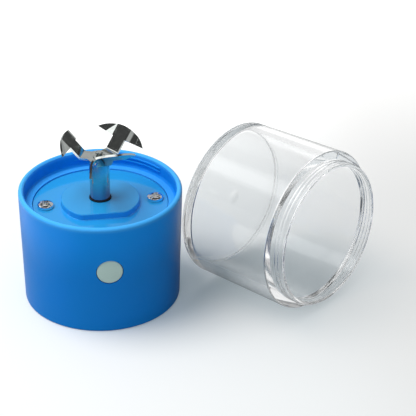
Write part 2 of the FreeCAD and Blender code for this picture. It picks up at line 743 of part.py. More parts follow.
def lead(points):
    # A wire of round section along straight runs joined by tangent arcs
    corners = [vec(*p) for p in points]
    edges = []
    here = corners[0]
    for before, corner, after in zip(corners, corners[1:], corners[2:]):
        back = before - corner
        ahead = after - corner
        tangent = LEAD_BEND * min(back.Length, ahead.Length)
        half_turn = (math.pi - back.getAngle(ahead)) / 2
        sagitta = tangent / math.tan(half_turn) * (1 / math.cos(half_turn) - 1)
        back.normalize()
        ahead.normalize()
        inward = back + ahead
        inward.normalize()
        start = corner + back * tangent
        end = corner + ahead * tangent
        edges.append(Part.makeLine(here, start))
        edges.append(Part.Arc(start, corner + inward * sagitta, end).toShape())
        here = end
    edges.append(Part.makeLine(here, corners[-1]))
    section = Part.Wire([Part.makeCircle(LEAD_R, corners[0], corners[1] - corners[0])])
    return Part.Wire(edges).makePipeShell([section], True, False)


def round_motor(radius, azimuth, z):
    # A point beside the motor at a distance from its axis
    angle = math.radians(azimuth)
    return radius * math.cos(angle), radius * math.sin(angle), z


def to_board(x, z):
    # The last two points of a lead that meets the control board's back squarely
    return [(x, LEAD_END - BOARD_BACK_R, z), (x, -BOARD_BACK_R, z)]


def battery_leads():
    # One lead starts on the cell's cap and the other on its shoulder
    leads = []
    starts = [(LEAD_R, 0, CELL_TOP), (-1.5 * LEAD_PITCH, -1.5 * LEAD_PITCH, CELL_TOP - CELL_CAP_H)]
    for k, (x, y, seat) in enumerate(starts):
        level = seat + LEAD_R + FIT_GAP
        spread = 1.5 * LEAD_PITCH * k
        reach = LEAD_ROUTE_R + spread
        leads.append(lead([
            (CELL_X + x, CELL_Y + y, level),
            round_motor(reach, 175, level),
            round_motor(reach, 220, level - 0.7 * BATTERY_LEAD_DROP),
        ] + to_board(-BOARD_W / 4 - spread, level - BATTERY_LEAD_DROP)))
    return Part.makeCompound(leads)


def motor_leads():
    leads = []
    tab_bottom = CAN_BOTTOM - TAB_DROP + 2 * LEAD_R
    for side in (-1, 1):
        leads.append(lead([
            (side * (TAB_X - TAB_T / 2 - LEAD_R), 0, tab_bottom),
            (side * MOTOR_LEAD_X, -CAN_R / 2, tab_bottom),
            (side * NOTCH_W / 4, -CAN_R, CRADLE_TOP - NOTCH_H / 2),
        ] + to_board(side * 1.5 * LEAD_PITCH, CRADLE_TOP + LEAD_R)))
    return Part.makeCompound(leads)


def charge_leads():
    start = CHARGE_BOARD_TOP + LEAD_R + FIT_GAP
    leads = []
    for k in (0, 1):
        reach = LEAD_ROUTE_R + k * LEAD_PITCH
        start_x = CHARGE_BOARD_W / 2 - 2 * LEAD_R - (1 - k) * LEAD_PITCH
        leads.append(lead([
            (start_x, CHARGE_BOARD_END - CHARGE_BOARD_L + 4 * LEAD_R, start),
            round_motor(reach, 30, start),
            round_motor(reach, -4, start + 0.5 * CHARGE_LEAD_RISE),
            round_motor(reach, -38, start + 0.8 * CHARGE_LEAD_RISE),
        ] + to_board(BOARD_W / 3 + k * LEAD_PITCH, start + CHARGE_LEAD_RISE)))
    return Part.makeCompound(leads)


def grinding_cup():
    mouth = CUP_BODY_L + CUP_NECK_L
    cup = lathe([
        (0, 0),
        (CUP_END_R, 0),
        (CUP_COLLAR_R, CUP_BODY_L),
        (CUP_NECK_R, CUP_BODY_L),
        (CUP_NECK_R, mouth),
        (CUP_BORE_R, mouth),
        (CUP_BORE_R, CUP_FLOOR),
        (0, CUP_FLOOR),
    ])
    cup = round_ring(cup, CUP_END_R, 0, CUP_END_ROUND)
    cup = round_ring(cup, CUP_BORE_R, CUP_FLOOR, CUP_FLOOR_FILLET)
    cup = round_ring(cup, CUP_NECK_R, mouth, CUP_LIP_ROUND)
    cup = moved(cup, 0, 0, -CUP_BODY_L)
    cup = turned(turned(cup, Y_AXIS, 90 - CUP_TILT), Z_AXIS, CUP_AZIMUTH)
    height = CUP_COLLAR_R * math.cos(math.radians(CUP_TILT))
    return moved(cup, CUP_COLLAR_X, CUP_COLLAR_Y, height)


PIECES = [
    base_housing,
    bottom_cover,
    cover_screws,
    deck_plate,
    deck_screws,
    shaft_seal,
    motor_can,
    motor_bushes,
    motor_magnets,
    motor_end_cap,
    motor_brushes,
    motor_terminals,
    motor_damper,
    control_board,
    switch_body,
    charge_board,
    charge_socket,
    socket_tongue,
    battery_cell,
    battery_leads,
    motor_leads,
    charge_leads,
    motor_shaft,
    armature_core,
    armature_windings,
    commutator,
    blade_spindle,
    blade,
    blade_screw,
    push_button,
    switch_plunger,
    grinding_cup,
]

os.makedirs("parts", exist_ok=True)
for piece in PIECES:
    shape = piece()
    shape.exportStep("parts/" + piece.__name__ + ".step")
    print(piece.__name__, len(shape.Solids), "solids", round(shape.Volume, 1), "mm3", shape.isValid())
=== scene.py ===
import json
import math

import bmesh
import bpy
from bpy.props import FloatProperty, FloatVectorProperty, IntProperty, PointerProperty
from mathutils import Matrix, Vector


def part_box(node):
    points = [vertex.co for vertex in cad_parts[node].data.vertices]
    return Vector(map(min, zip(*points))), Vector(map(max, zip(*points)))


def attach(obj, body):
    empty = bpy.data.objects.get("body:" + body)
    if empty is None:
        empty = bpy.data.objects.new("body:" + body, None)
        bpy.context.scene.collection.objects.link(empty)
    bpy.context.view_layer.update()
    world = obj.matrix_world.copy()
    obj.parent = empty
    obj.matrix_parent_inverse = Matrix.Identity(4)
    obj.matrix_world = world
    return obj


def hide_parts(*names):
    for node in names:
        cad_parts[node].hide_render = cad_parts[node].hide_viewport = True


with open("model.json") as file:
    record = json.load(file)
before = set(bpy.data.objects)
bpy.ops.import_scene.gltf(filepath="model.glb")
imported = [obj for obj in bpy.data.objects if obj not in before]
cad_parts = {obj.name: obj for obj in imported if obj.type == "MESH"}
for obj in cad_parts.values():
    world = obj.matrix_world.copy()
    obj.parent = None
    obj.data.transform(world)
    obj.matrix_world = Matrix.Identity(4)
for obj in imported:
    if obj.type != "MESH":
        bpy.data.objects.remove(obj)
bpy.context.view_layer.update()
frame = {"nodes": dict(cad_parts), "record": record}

bl_info = {
    "name": "Portable herb grinder",
    "version": (1, 0, 0),
    "blender": (4, 5, 0),
    "location": "3D View > Sidebar > Grinder",
    "description": "Dresses the packed grinder with finished meshes and materials",
    "category": "Object",
}

MM = 0.001
FULL_TURN = 2 * math.pi
WHITE = (1.0, 1.0, 1.0)
MOUNTS = {mount["name"]: mount for mount in frame["record"]["mounts"]}
NODE_SLOTS = {part["node"]: part["material_slot"] for part in frame["record"]["subparts"]}

# Places and sizes read from the frame
BASE_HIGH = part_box("base_housing")[1]
DECK_LOW, DECK_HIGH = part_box("deck_plate")
SEAL_LOW, SEAL_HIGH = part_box("shaft_seal")
SPINDLE_LOW, SPINDLE_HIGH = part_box("blade_spindle")
DECK_SCREW_LOW, DECK_SCREW_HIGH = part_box("deck_screws")
COVER_SCREW_LOW, COVER_SCREW_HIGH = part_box("cover_screws")
BLADE_SCREW_LOW, BLADE_SCREW_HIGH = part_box("blade_screw")
BUTTON_LOW, BUTTON_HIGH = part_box("push_button")
PORT_LOW, PORT_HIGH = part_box("charge_socket")


# Properties

def length(label, description, default):
    """A length in metres."""
    return FloatProperty(name=label, description=description, default=default, unit="LENGTH", precision=5)


def angle(label, description, degrees):
    """An angle, given in degrees."""
    return FloatProperty(name=label, description=description, default=math.radians(degrees), unit="ROTATION")


def share(label, description, default):
    """A number that mostly lies between none and all."""
    return FloatProperty(name=label, description=description, default=default, soft_min=0.0, soft_max=1.0)


def level(label, description, default):
    """A number of zero or more."""
    return FloatProperty(name=label, description=description, default=default, min=0.0)


def count(label, description, default):
    """A whole number of one or more."""
    return IntProperty(name=label, description=description, default=default, min=1)


def colour(label, description, default):
    """A linear colour."""
    return FloatVectorProperty(
        name=label, description=description, default=default, size=3, subtype="COLOR", min=0.0, max=1.0
    )


def point(label, description, default):
    """A place in metres."""
    return FloatVectorProperty(
        name=label, description=description, default=default, subtype="TRANSLATION", unit="LENGTH"
    )


class BaseSizes(bpy.types.PropertyGroup):
    """Sizes and colour of the base's mouldings."""

    rim_radius: length("Rim radius", "Outer radius at the rim", BASE_HIGH.x)
    foot_radius: length("Foot radius", "Outer radius where the base stands", 28.7 * MM)
    height: length("Height", "Height of the rim above the table", BASE_HIGH.z)
    socket_radius: length("Socket radius", "Inner radius of the rim", 28.0 * MM)
    socket_depth: length("Socket depth", "Depth of the ledge below the rim", 6.0 * MM)
    seat_radius: length("Deck seat radius", "Radius of the opening that holds the deck", 24.9 * MM)
    cavity_radius: length("Cavity radius", "Inner radius below the deck", 26.2 * MM)
    cover_radius: length("Cover seat radius", "Radius of the opening that holds the cover", 26.9 * MM)
    boss_radius: length("Boss radius", "Radius of the boss's round ends", 14.4 * MM)
    boss_flat: length("Boss flat", "Distance of the boss's flat sides from the axis", 11.9 * MM)
    boss_height: length("Boss height", "Height of the boss above the deck", 2.4 * MM)
    boss_corner: length("Boss corner", "Radius between the flats and the round ends", 4.0 * MM)
    seal_radius: length("Seal radius", "Radius of the hole for the spindle's seal", 4.0 * MM)
    ridge_radius: length("Ridge radius", "Half width of a thread ridge inside the rim", 0.46 * MM)
    ridge_pitch: length("Ridge pitch", "Height between two ridges", 1.45 * MM)
    ridge_height: length("Ridge level", "Height of the lower ridge below the rim", 3.9 * MM)
    ridge_rise: length("Ridge rise", "How far a ridge climbs along its length", 0.6 * MM)
    ridge_start: angle("Ridge start", "Where the first pair of ridges begins", 31.0)
    ridge_sweep: angle("Ridge sweep", "Angle that each ridge covers", 75.0)
    ridge_pairs: count("Ridge pairs", "Pairs of ridges round the rim", 2)
    shell_colour: colour("Shell colour", "Blue of the wall", (0.002, 0.238, 0.775))
    # Painted light: the wall's top and the rim are painted in paler blues than the shell, for the stronger
    # light they take from above.
    wall_top_colour: colour("Wall top colour", "Blue of the wall below the rim", (0.002, 0.310, 0.985))
    rim_colour: colour("Rim colour", "Paler blue of the thin rim", (0.065, 0.450, 1.000))
    # Painted light: the deck's paler, greener blue than the shell's stands for the strong light on it from
    # above.
    deck_colour: colour("Deck colour", "Blue of the deck", (0.022, 0.335, 0.750))


class CutterSizes(bpy.types.PropertyGroup):
    """Sizes and colour of the cutter and its spindle."""

    sheet: length("Sheet thickness", "Thickness of the cutter's sheet", 0.8 * MM)
    blank_radius: length("Blank radius", "Radius of the round blank", 16.7 * MM)
    hub_radius: length("Hub radius", "Radius of the flat middle", 4.6 * MM)
    arm_width: length("Arm width", "Width of each arm", 5.8 * MM)
    fold_radius: length("Fold radius", "Distance of the arm's fold from the axis", 6.4 * MM)
    bend_radius: length("Bend radius", "Radius of the arm's bend", 1.2 * MM)
    arm_rise: angle("Arm rise", "Angle that the arms are bent up", 47.6)
    arm_turn: angle("Arm turn", "Direction of the first arm", 37.2)
    arm_count: count("Arms", "Number of arms", 3)
    head_chord: length("Head chord", "Distance of the wings from the fold", 5.4 * MM)
    wing_sweep: angle("Wing sweep", "Slant of the wings' lower edge", 5.0)
    crease_offset: length("Crease offset", "Distance of the crease from the arm's middle", 3.4 * MM)
    crease_angle: angle("Crease angle", "How far the leading wing is tipped up", 4.0)
    curl_offset: length("Curl offset", "Distance of the curl from the arm's middle", 3.1 * MM)
    curl_radius: length("Curl radius", "Radius of the curl", 3.1 * MM)
    curl_angle: angle("Curl angle", "How far the trailing wing is rolled down", 80.0)
    edge_round: length("Edge round", "Rounding of the sheet's edges", 0.09 * MM)
    dip_reach: length("Dip reach", "Distance from the crease to the dip at the wing's lower edge", 3.8 * MM)
    dip_start: length("Dip start", "Distance from the axis at which the dip starts", 12.2 * MM)
    dip_slant: angle("Dip slant", "Angle between the dip and the crease", 39.8)
    dip_angle: angle("Dip angle", "How far the leading wing falls to the dip", 8.0)
    dip_return: angle("Dip return", "How far the leading wing rises again from the dip to its tip", 6.85)
    steel_colour: colour("Steel colour", "Tint of the polished sheet", (0.76, 0.80, 0.775))
    spindle_colour: colour("Spindle colour", "Tint of the turned spindle at its top", (0.92, 0.98, 0.64))
    spindle_foot_colour: colour("Spindle foot colour", "Tint of the spindle at its foot", (0.52, 0.33, 0.44))


class ScrewSizes(bpy.types.PropertyGroup):
    """Sizes and colour of the screws."""

    shank_radius: length("Shank radius", "Radius of the screws' shank", 1.5 * MM)
    pitch: length("Pitch", "Pitch of the screws' thread", 0.9 * MM)
    recess_span: share("Recess span", "Span of the cross recess as a share of the head", 0.76)
    recess_slot: share("Recess slot", "Width of the recess's slots as a share of the head", 0.32)
    recess_depth: share("Recess depth", "Depth of the recess as a share of the head's height", 0.72)
    plating_colour: colour("Plating colour", "Tint of the bright plating", (0.93, 0.94, 0.95))


class ButtonSizes(bpy.types.PropertyGroup):
    """Sizes and colour of the push button."""

    radius: length("Button radius", "Radius of the button's cap", 4.7 * MM)
    gap: length("Button gap", "Gap between the cap and its hole", 0.25 * MM)
    edge_round: length("Edge round", "Rounding of the cap's edge", 0.35 * MM)
    cap_colour: colour("Cap colour", "Pale grey-green of the cap", (0.59, 0.80, 0.75))


class CupSizes(bpy.types.PropertyGroup):
    """Sizes and colour of the grinding cup."""

    collar_radius: length("Collar radius", "Outer radius at the collar", 30.2 * MM)
    end_radius: length("End radius", "Outer radius at the closed end", 29.2 * MM)
    body_length: length("Body length", "Length from the closed end to the collar", 40.0 * MM)
    end_round: length("End round", "Rounding at the closed end", 1.0 * MM)
    neck_radius: length("Neck radius", "Outer radius of the neck", 27.0 * MM)
    neck_length: length("Neck length", "Length of the neck", 5.8 * MM)
    floor: length("Floor", "Thickness of the closed end", 2.5 * MM)
    thread_pitch: length("Thread pitch", "Pitch of the neck's thread", 1.45 * MM)
    thread_depth: length("Thread depth", "Depth of the neck's thread", 0.26 * MM)
    thread_sharpness: level("Thread sharpness", "How narrow the neck's thread ridges are", 5.0)
    gate_radius: length("Gate radius", "Radius of the moulding mark on the floor", 3.6 * MM)
    rib_width: length("Rib width", "Width of the short rib on the collar's step", 0.4 * MM)
    rib_turn: angle("Rib turn", "Direction of the rib about the cup's axis", 65.0)
    clear_colour: colour("Clear colour", "Tint of the clear plastic", (0.930, 0.938, 0.942))


class StageSettings(bpy.types.PropertyGroup):
    """Camera and light."""

    camera_place: point("Camera place", "Where the camera stands", (-67.19 * MM, -724.35 * MM, 462.16 * MM))
    camera_tilt: angle("Camera tilt", "Angle of the camera up from straight down", 59.551)
    camera_turn: angle("Camera turn", "Direction of the camera about the vertical", -8.4)
    lens: FloatProperty(name="Lens", description="Focal length in millimetres", default=199.04)
    floor_colour: colour("Floor colour", "How pale the table looks", (0.825, 0.80, 0.78))
    floor_mirror: share("Floor mirror", "How pale the table looks in metal and plastic", 0.45)
    floor_bounce: share("Floor bounce", "How much light the table throws back on the part", 0.42)
    shade_colour: colour("Shade colour", "Cool light that shadows on the table keep", (0.085, 0.125, 0.145))
    fill_level: share("Fill level", "Level of the light from all round", 0.58)
    fill_lean: share("Fill lean", "How much stronger that light is from the left", 0.45)
    fill_colour: colour("Fill colour", "Cool tint of the light from all round", (0.965, 0.99, 1.0))
    side_level: share("Side level", "Level that metal mirrors from the studio's dark walls", 0.052)
    back_level: share("Back level", "Level that metal and clear plastic mirror from the backdrop", 0.45)
    window_level: level("Window level", "Level of the bright strips that the cutter mirrors", 1.25)
    box_level: level("Box level", "Level of the soft light that the cup mirrors", 1.9)
    overhead_level: share("Overhead level", "Level that the screws mirror from overhead", 0.75)
    clear_side_level: share("Clear side level", "Level that clear plastic shows of those walls", 0.12)
    key_place: point("Key place", "Where the main soft light stands", (-0.16, 0.02, 0.42))
    key_aim: point("Key aim", "Where the main soft light points", (0.0, 0.0, 0.04))
    key_size: length("Key size", "Width of the main soft light", 0.28)
    key_power: FloatProperty(
        name="Key power", description="Power of the main soft light", default=1.35, unit="POWER"
    )


# Meshes

def rounded(outline, steps=6):
    """A closed outline of (x, y, radius) corners as points, with an arc at each corner that has a radius."""
    points = []
    for index, (x, y, radius) in enumerate(outline):
        corner = Vector((x, y))
        if radius <= 0:
            points.append((x, y))
            continue
        back = (Vector(outline[index - 1][:2]) - corner).normalized()
        ahead = (Vector(outline[(index + 1) % len(outline)][:2]) - corner).normalized()
        half = back.angle(ahead) / 2
        centre = corner + (back + ahead).normalized() * radius / math.sin(half)
        start = corner + back * radius / math.tan(half) - centre
        end = corner + ahead * radius / math.tan(half) - centre
        begin = math.atan2(start.y, start.x)
        sweep = math.remainder(math.atan2(end.y, end.x) - begin, FULL_TURN)
        for step in range(steps + 1):
            turn = begin + sweep * step / steps
            points.append((centre.x + radius * math.cos(turn), centre.y + radius * math.sin(turn)))
    return points


def stepped(start, end, pitch):
    """Points from one (radius, height) to another, about a pitch apart, without the end."""
    start, end = Vector(start), Vector(end)
    count = max(1, round((end - start).length / pitch))
    return [tuple(start.lerp(end, k / count)) for k in range(count)]


def turned_mesh(outline, segments):
    """A closed bmesh made by turning (radius, height) points about Z.

    A radius may be a function of the angle.
    """
    bm = bmesh.new()
    rings = []
    for radius, height in outline:
        if not callable(radius) and radius < 1e-9:
            rings.append([bm.verts.new((0, 0, height))] * segments)
            continue
        ring = []
        for k in range(segments):
            turn = FULL_TURN * k / segments
            reach = radius(turn) if callable(radius) else radius
            ring.append(bm.verts.new((reach * math.cos(turn), reach * math.sin(turn), height)))
        rings.append(ring)
    for lower, upper in zip(rings, rings[1:] + rings[:1]):
        for k in range(segments):
            corners = [lower[k], lower[k - 1], upper[k - 1], upper[k]]
            corners = [v for i, v in enumerate(corners) if v not in corners[:i]]
            if len(corners) > 2:
                bm.faces.new(corners)
    bmesh.ops.recalc_face_normals(bm, faces=bm.faces)
    return bm


def prism(outline, shift):
    """A closed bmesh made by drawing a flat outline out along a vector."""
    bm = bmesh.new()
    face = bm.faces.new([bm.verts.new(corner) for corner in outline])
    far = bmesh.ops.extrude_face_region(bm, geom=[face])["geom"]
    verts = [v for v in far if isinstance(v, bmesh.types.BMVert)]
    bmesh.ops.translate(bm, verts=verts, vec=shift)
    bmesh.ops.recalc_face_normals(bm, faces=bm.faces)
    return bm


def new_piece(name, bm, material):
    """Links a bmesh as an object at the origin."""
    mesh = bpy.data.meshes.new(name)
    bm.to_mesh(mesh)
    bm.free()
    mesh.materials.append(material)
    piece = bpy.data.objects.new(name, mesh)
    bpy.context.scene.collection.objects.link(piece)
    return piece


def settle(piece):
    """Turns a piece and its modifiers into one plain mesh."""
    graph = bpy.context.evaluated_depsgraph_get()
    mesh = bpy.data.meshes.new_from_object(piece.evaluated_get(graph), depsgraph=graph)
    mesh.name = piece.name
    piece.modifiers.clear()
    piece.data = mesh
    return piece


def smooth(piece, degrees=35):
    """Shades a piece smooth, with sharp edges past an angle and normals led by its large faces."""
    piece.data.shade_smooth()
    piece.data.set_sharp_from_angle(angle=math.radians(degrees))
    weighted = piece.modifiers.new("Normals", "WEIGHTED_NORMAL")
    weighted.keep_sharp = True
    return settle(piece)


def cut(piece, cutter):
    """Cuts one closed mesh out of another."""
    boolean = piece.modifiers.new("Cut", "BOOLEAN")
    boolean.operation = "DIFFERENCE"
    boolean.solver = "EXACT"
    boolean.object = cutter
    settle(piece)
    bpy.data.objects.remove(cutter)
    return piece


def place(piece, matrix):
    """Moves a piece's mesh, so that its object stays at the origin."""
    piece.data.transform(matrix)
    piece.data.update()
    return piece


def hand_over(piece, body, slot, *nodes):
    """Lets a finished piece ride on its body in place of its CAD nodes."""
    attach(piece, body)
    if nodes:
        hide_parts(*nodes)


# Geometry node trees

def new_tree(name, sizes):
    """An empty geometry tree with a geometry input and output, a material and named number inputs."""
    tree = bpy.data.node_groups.new(name, "GeometryNodeTree")
    tree.interface.new_socket("Geometry", in_out="INPUT", socket_type="NodeSocketGeometry")
    tree.interface.new_socket("Material", in_out="INPUT", socket_type="NodeSocketMaterial")
    for label, kind in sizes:
        tree.interface.new_socket(label, in_out="INPUT", socket_type=kind)
    tree.interface.new_socket("Geometry", in_out="OUTPUT", socket_type="NodeSocketGeometry")
    return tree, tree.nodes.new("NodeGroupInput"), tree.nodes.new("NodeGroupOutput")


def run_tree(piece, tree, material, **values):
    """Runs a tree on a piece with its named inputs and keeps the result as a plain mesh."""
    modifier = piece.modifiers.new(tree.name, "NODES")
    modifier.node_group = tree
    values["Material"] = material
    for item in tree.interface.items_tree:
        if item.item_type == "SOCKET" and item.in_out == "INPUT":
            key = item.name.replace(" ", "_")
            if key in values:
                modifier[item.identifier] = values[key]
    return settle(piece)


class Wires:
    """Adds nodes to a tree and joins them, so that a formula reads as one."""

    def __init__(self, tree):
        self.tree = tree

    def node(self, kind, inputs=(), **settings):
        """A new node; each input is joined to a socket or set to a value."""
        node = self.tree.nodes.new(kind)
        for key, value in settings.items():
            setattr(node, key, value)
        pairs = inputs.items() if isinstance(inputs, dict) else enumerate(inputs)
        for key, value in pairs:
            if isinstance(value, bpy.types.NodeSocket):
                self.join(value, node.inputs[key])
            else:
                node.inputs[key].default_value = value
        return node

    def join(self, value, socket):
        self.tree.links.new(value, socket)

    def math(self, operation, *values):
        return self.node("ShaderNodeMath", values, operation=operation).outputs[0]

    def product(self, first, *others):
        """All the values multiplied."""
        for value in others:
            first = self.math("MULTIPLY", first, value)
        return first

    def most(self, first, *others):
        """The largest of the values."""
        for value in others:
            first = self.math("MAXIMUM", first, value)
        return first

    def rest(self, value):
        """What a share leaves of the whole."""
        return self.math("SUBTRACT", 1.0, value)

    def mix(self, share, low, high):
        """Goes from one number to another."""
        return self.math("MULTIPLY_ADD", share, self.math("SUBTRACT", high, low), low)

    def blend(self, share, low, high):
        """Goes from one colour to another, each a socket or three numbers."""
        low, high = (c if isinstance(c, bpy.types.NodeSocket) else (*c, 1.0) for c in (low, high))
        inputs = {"Factor": share, "A": low, "B": high}
        return self.node("ShaderNodeMix", inputs, data_type="RGBA").outputs["Result"]

    def between(self, value, low, high, start=0.0, end=1.0):
        """Goes smoothly from start to end while a value goes from low to high."""
        settings = {"interpolation_type": "SMOOTHSTEP", "clamp": True}
        return self.node("ShaderNodeMapRange", (value, low, high, start, end), **settings).outputs[0]

    def vector(self, x, y, z):
        return self.node("ShaderNodeCombineXYZ", (x, y, z)).outputs[0]

    def axes(self, vector):
        return self.node("ShaderNodeSeparateXYZ", (vector,)).outputs

    def reach(self, x, y):
        """The distance from the Z axis."""
        return self.math("SQRT", self.math("ADD", self.product(x, x), self.product(y, y)))

    def here(self):
        """The place of a point on its object."""
        return self.node("ShaderNodeTexCoord").outputs["Object"]

    def noise(self, spot, scale, detail):
        inputs = {"Vector": spot, "Scale": scale, "Detail": detail}
        return self.node("ShaderNodeTexNoise", inputs).outputs["Fac"]

    def moved(self, geometry, **place):
        """Geometry at a new Position, or moved by an Offset."""
        return self.node("GeometryNodeSetPosition", {"Geometry": geometry, **place}).outputs[0]


def ridge_tree():
    """Ridges that climb along a round wall, in groups spaced evenly round the axis."""
    labels = ("Wall radius", "Level", "Pitch", "Rise", "Start", "Sweep", "Half width")
    sizes = [(label, "NodeSocketFloat") for label in labels]
    sizes += [(label, "NodeSocketInt") for label in ("Ridges", "Groups")]
    tree, entry, leave = new_tree("Rim ridges", sizes)
    w = Wires(tree)
    given = entry.outputs
    line = w.node("GeometryNodeCurvePrimitiveLine").outputs[0]
    line = w.node("GeometryNodeResampleCurve", {"Curve": line, "Count": 72}).outputs[0]
    along = w.node("GeometryNodeSplineParameter").outputs["Factor"]
    turn = w.math("MULTIPLY_ADD", along, given["Sweep"], given["Start"])
    x = w.product(given["Wall radius"], w.math("COSINE", turn))
    y = w.product(given["Wall radius"], w.math("SINE", turn))
    z = w.math("MULTIPLY_ADD", along, given["Rise"], given["Level"])
    path = w.moved(line, Position=w.vector(x, y, z))
    run_in = w.between(along, 0.0, 0.02, 0.35, 1.0)
    run_out = w.between(along, 0.90, 1.0, 1.0, 0.05)
    taper = w.product(run_in, run_out, given["Half width"])
    path = w.node("GeometryNodeSetCurveRadius", {"Curve": path, "Radius": taper}).outputs[0]
    section = w.node("GeometryNodeCurvePrimitiveCircle", {"Resolution": 14, "Radius": 1.0}).outputs[0]
    scale = w.node("GeometryNodeInputRadius").outputs[0]
    sweep = {"Curve": path, "Profile Curve": section, "Scale": scale, "Fill Caps": True}
    ridge = w.node("GeometryNodeCurveToMesh", sweep).outputs[0]
    total = w.product(given["Ridges"], given["Groups"])
    points = w.node("GeometryNodePoints", {"Count": total}).outputs[0]
    index = w.node("GeometryNodeInputIndex").outputs[0]
    step = w.math("FLOORED_MODULO", index, given["Ridges"])
    group = w.math("FLOOR", w.math("DIVIDE", index, given["Ridges"]))
    spots = w.vector(0.0, 0.0, w.product(step, given["Pitch"]))
    spin = w.vector(0.0, 0.0, w.product(group, w.math("DIVIDE", FULL_TURN, given["Groups"])))
    finish_copies(w, points, spots, ridge, spin, given["Material"], leave)
    return tree


def thread_tree():
    """Raises a helical ridge on the part of a turned mesh that lies between two heights."""
    labels = ("Wall radius", "Low", "High", "Pitch", "Depth", "Sharpness")
    tree, entry, leave = new_tree("Helical thread", [(label, "NodeSocketFloat") for label in labels])
    w = Wires(tree)
    given = entry.outputs
    x, y, z = w.axes(w.node("GeometryNodeInputPosition").outputs[0])
    near_wall = w.math("COMPARE", w.reach(x, y), given["Wall radius"], 0.2 * MM)
    turn = w.math("DIVIDE", w.math("ARCTAN2", y, x), FULL_TURN)
    phase = w.math("FRACT", w.math("SUBTRACT", w.math("DIVIDE", z, given["Pitch"]), turn))
    wave = w.math("COSINE", w.product(phase, FULL_TURN))
    ridge = w.math("POWER", w.math("MULTIPLY_ADD", wave, -0.5, 0.5), given["Sharpness"])
    rise = w.between(z, given["Low"], w.math("ADD", given["Low"], given["Pitch"]))
    fall = w.between(z, w.math("SUBTRACT", given["High"], given["Pitch"]), given["High"], 1.0, 0.0)
    height = w.product(rise, fall, ridge, near_wall, given["Depth"])
    push = w.math("DIVIDE", height, given["Wall radius"])
    offset = w.vector(w.product(x, push), w.product(y, push), 0.0)
    finish_tree(w, w.moved(given["Geometry"], Offset=offset), given["Material"], leave)
    return tree


def screw_row_tree():
    """Copies one screw to a row of places along X, each turned a little further than the last."""
    sizes = [(label, "NodeSocketFloat") for label in ("Spacing", "First turn", "Turn step")]
    tree, entry, leave = new_tree("Screw row", sizes + [("Screws", "NodeSocketInt")])
    w = Wires(tree)
    given = entry.outputs
    points = w.node("GeometryNodePoints", {"Count": given["Screws"]}).outputs[0]
    index = w.node("GeometryNodeInputIndex").outputs[0]
    middle = w.product(w.math("SUBTRACT", given["Screws"], 1.0), 0.5)
    across = w.product(w.math("SUBTRACT", index, middle), given["Spacing"])
    turn = w.math("MULTIPLY_ADD", index, given["Turn step"], given["First turn"])
    spots, spin = w.vector(across, 0.0, 0.0), w.vector(0.0, 0.0, turn)
    finish_copies(w, points, spots, given["Geometry"], spin, given["Material"], leave)
    return tree


def finish_copies(w, points, spots, piece, spin, material, leave):
    """Ends a tree in copies of a piece at points that are moved to their spots."""
    inputs = {"Points": w.moved(points, Position=spots), "Instance": piece, "Rotation": spin}
    copies = w.node("GeometryNodeInstanceOnPoints", inputs).outputs[0]
    finish_tree(w, copies, material, leave)


def finish_tree(w, geometry, material, leave):
    """Ends a tree in Realize Instances and Set Material."""
    plain = w.node("GeometryNodeRealizeInstances", {"Geometry": geometry}).outputs[0]
    coated = w.node("GeometryNodeSetMaterial", {"Geometry": plain, "Material": material}).outputs[0]
    w.join(coated, leave.inputs[0])


# Shader node groups and materials

def new_group(name, *numbers):
    """A shader group from a colour, a roughness and named numbers to a colour, a roughness and a height."""
    tree = bpy.data.node_groups.new(name, "ShaderNodeTree")
    for way, labels in (("INPUT", ("Roughness", *numbers)), ("OUTPUT", ("Roughness", "Height"))):
        tree.interface.new_socket("Colour", in_out=way, socket_type="NodeSocketColor")
        for label in labels:
            tree.interface.new_socket(label, in_out=way, socket_type="NodeSocketFloat")
    return Wires(tree), tree.nodes.new("NodeGroupInput"), tree.nodes.new("NodeGroupOutput")


def skin_group():
    """Moulded plastic skin: faint cloudy tint, uneven gloss and a fine orange-peel height."""
    w, entry, leave = new_group("Moulded skin", "Cloud size", "Tint", "Gloss spread")
    given = entry.outputs
    peel_fineness, hue_share, cloud_share = 26.0, 0.06, 0.6
    spot = w.here()
    per_cloud = w.math("DIVIDE", 1.0, given["Cloud size"])
    cloud = w.noise(spot, per_cloud, 3.0)
    peel = w.noise(spot, w.product(per_cloud, peel_fineness), 2.0)
    swing = w.math("SUBTRACT", cloud, 0.5)
    value = w.math("MULTIPLY_ADD", swing, given["Tint"], 1.0)
    hue = w.math("MULTIPLY_ADD", swing, w.product(given["Tint"], hue_share), 0.5)
    toned = {"Hue": hue, "Value": value, "Color": given["Colour"]}
    tinted = w.node("ShaderNodeHueSaturation", toned).outputs[0]
    grain = w.math("SUBTRACT", w.mix(cloud_share, peel, cloud), 0.5)
    rough = w.math("MULTIPLY_ADD", grain, given["Gloss spread"], given["Roughness"])
    for socket, result in zip(leave.inputs, (tinted, rough, peel)):
        w.join(result, socket)
    return w.tree


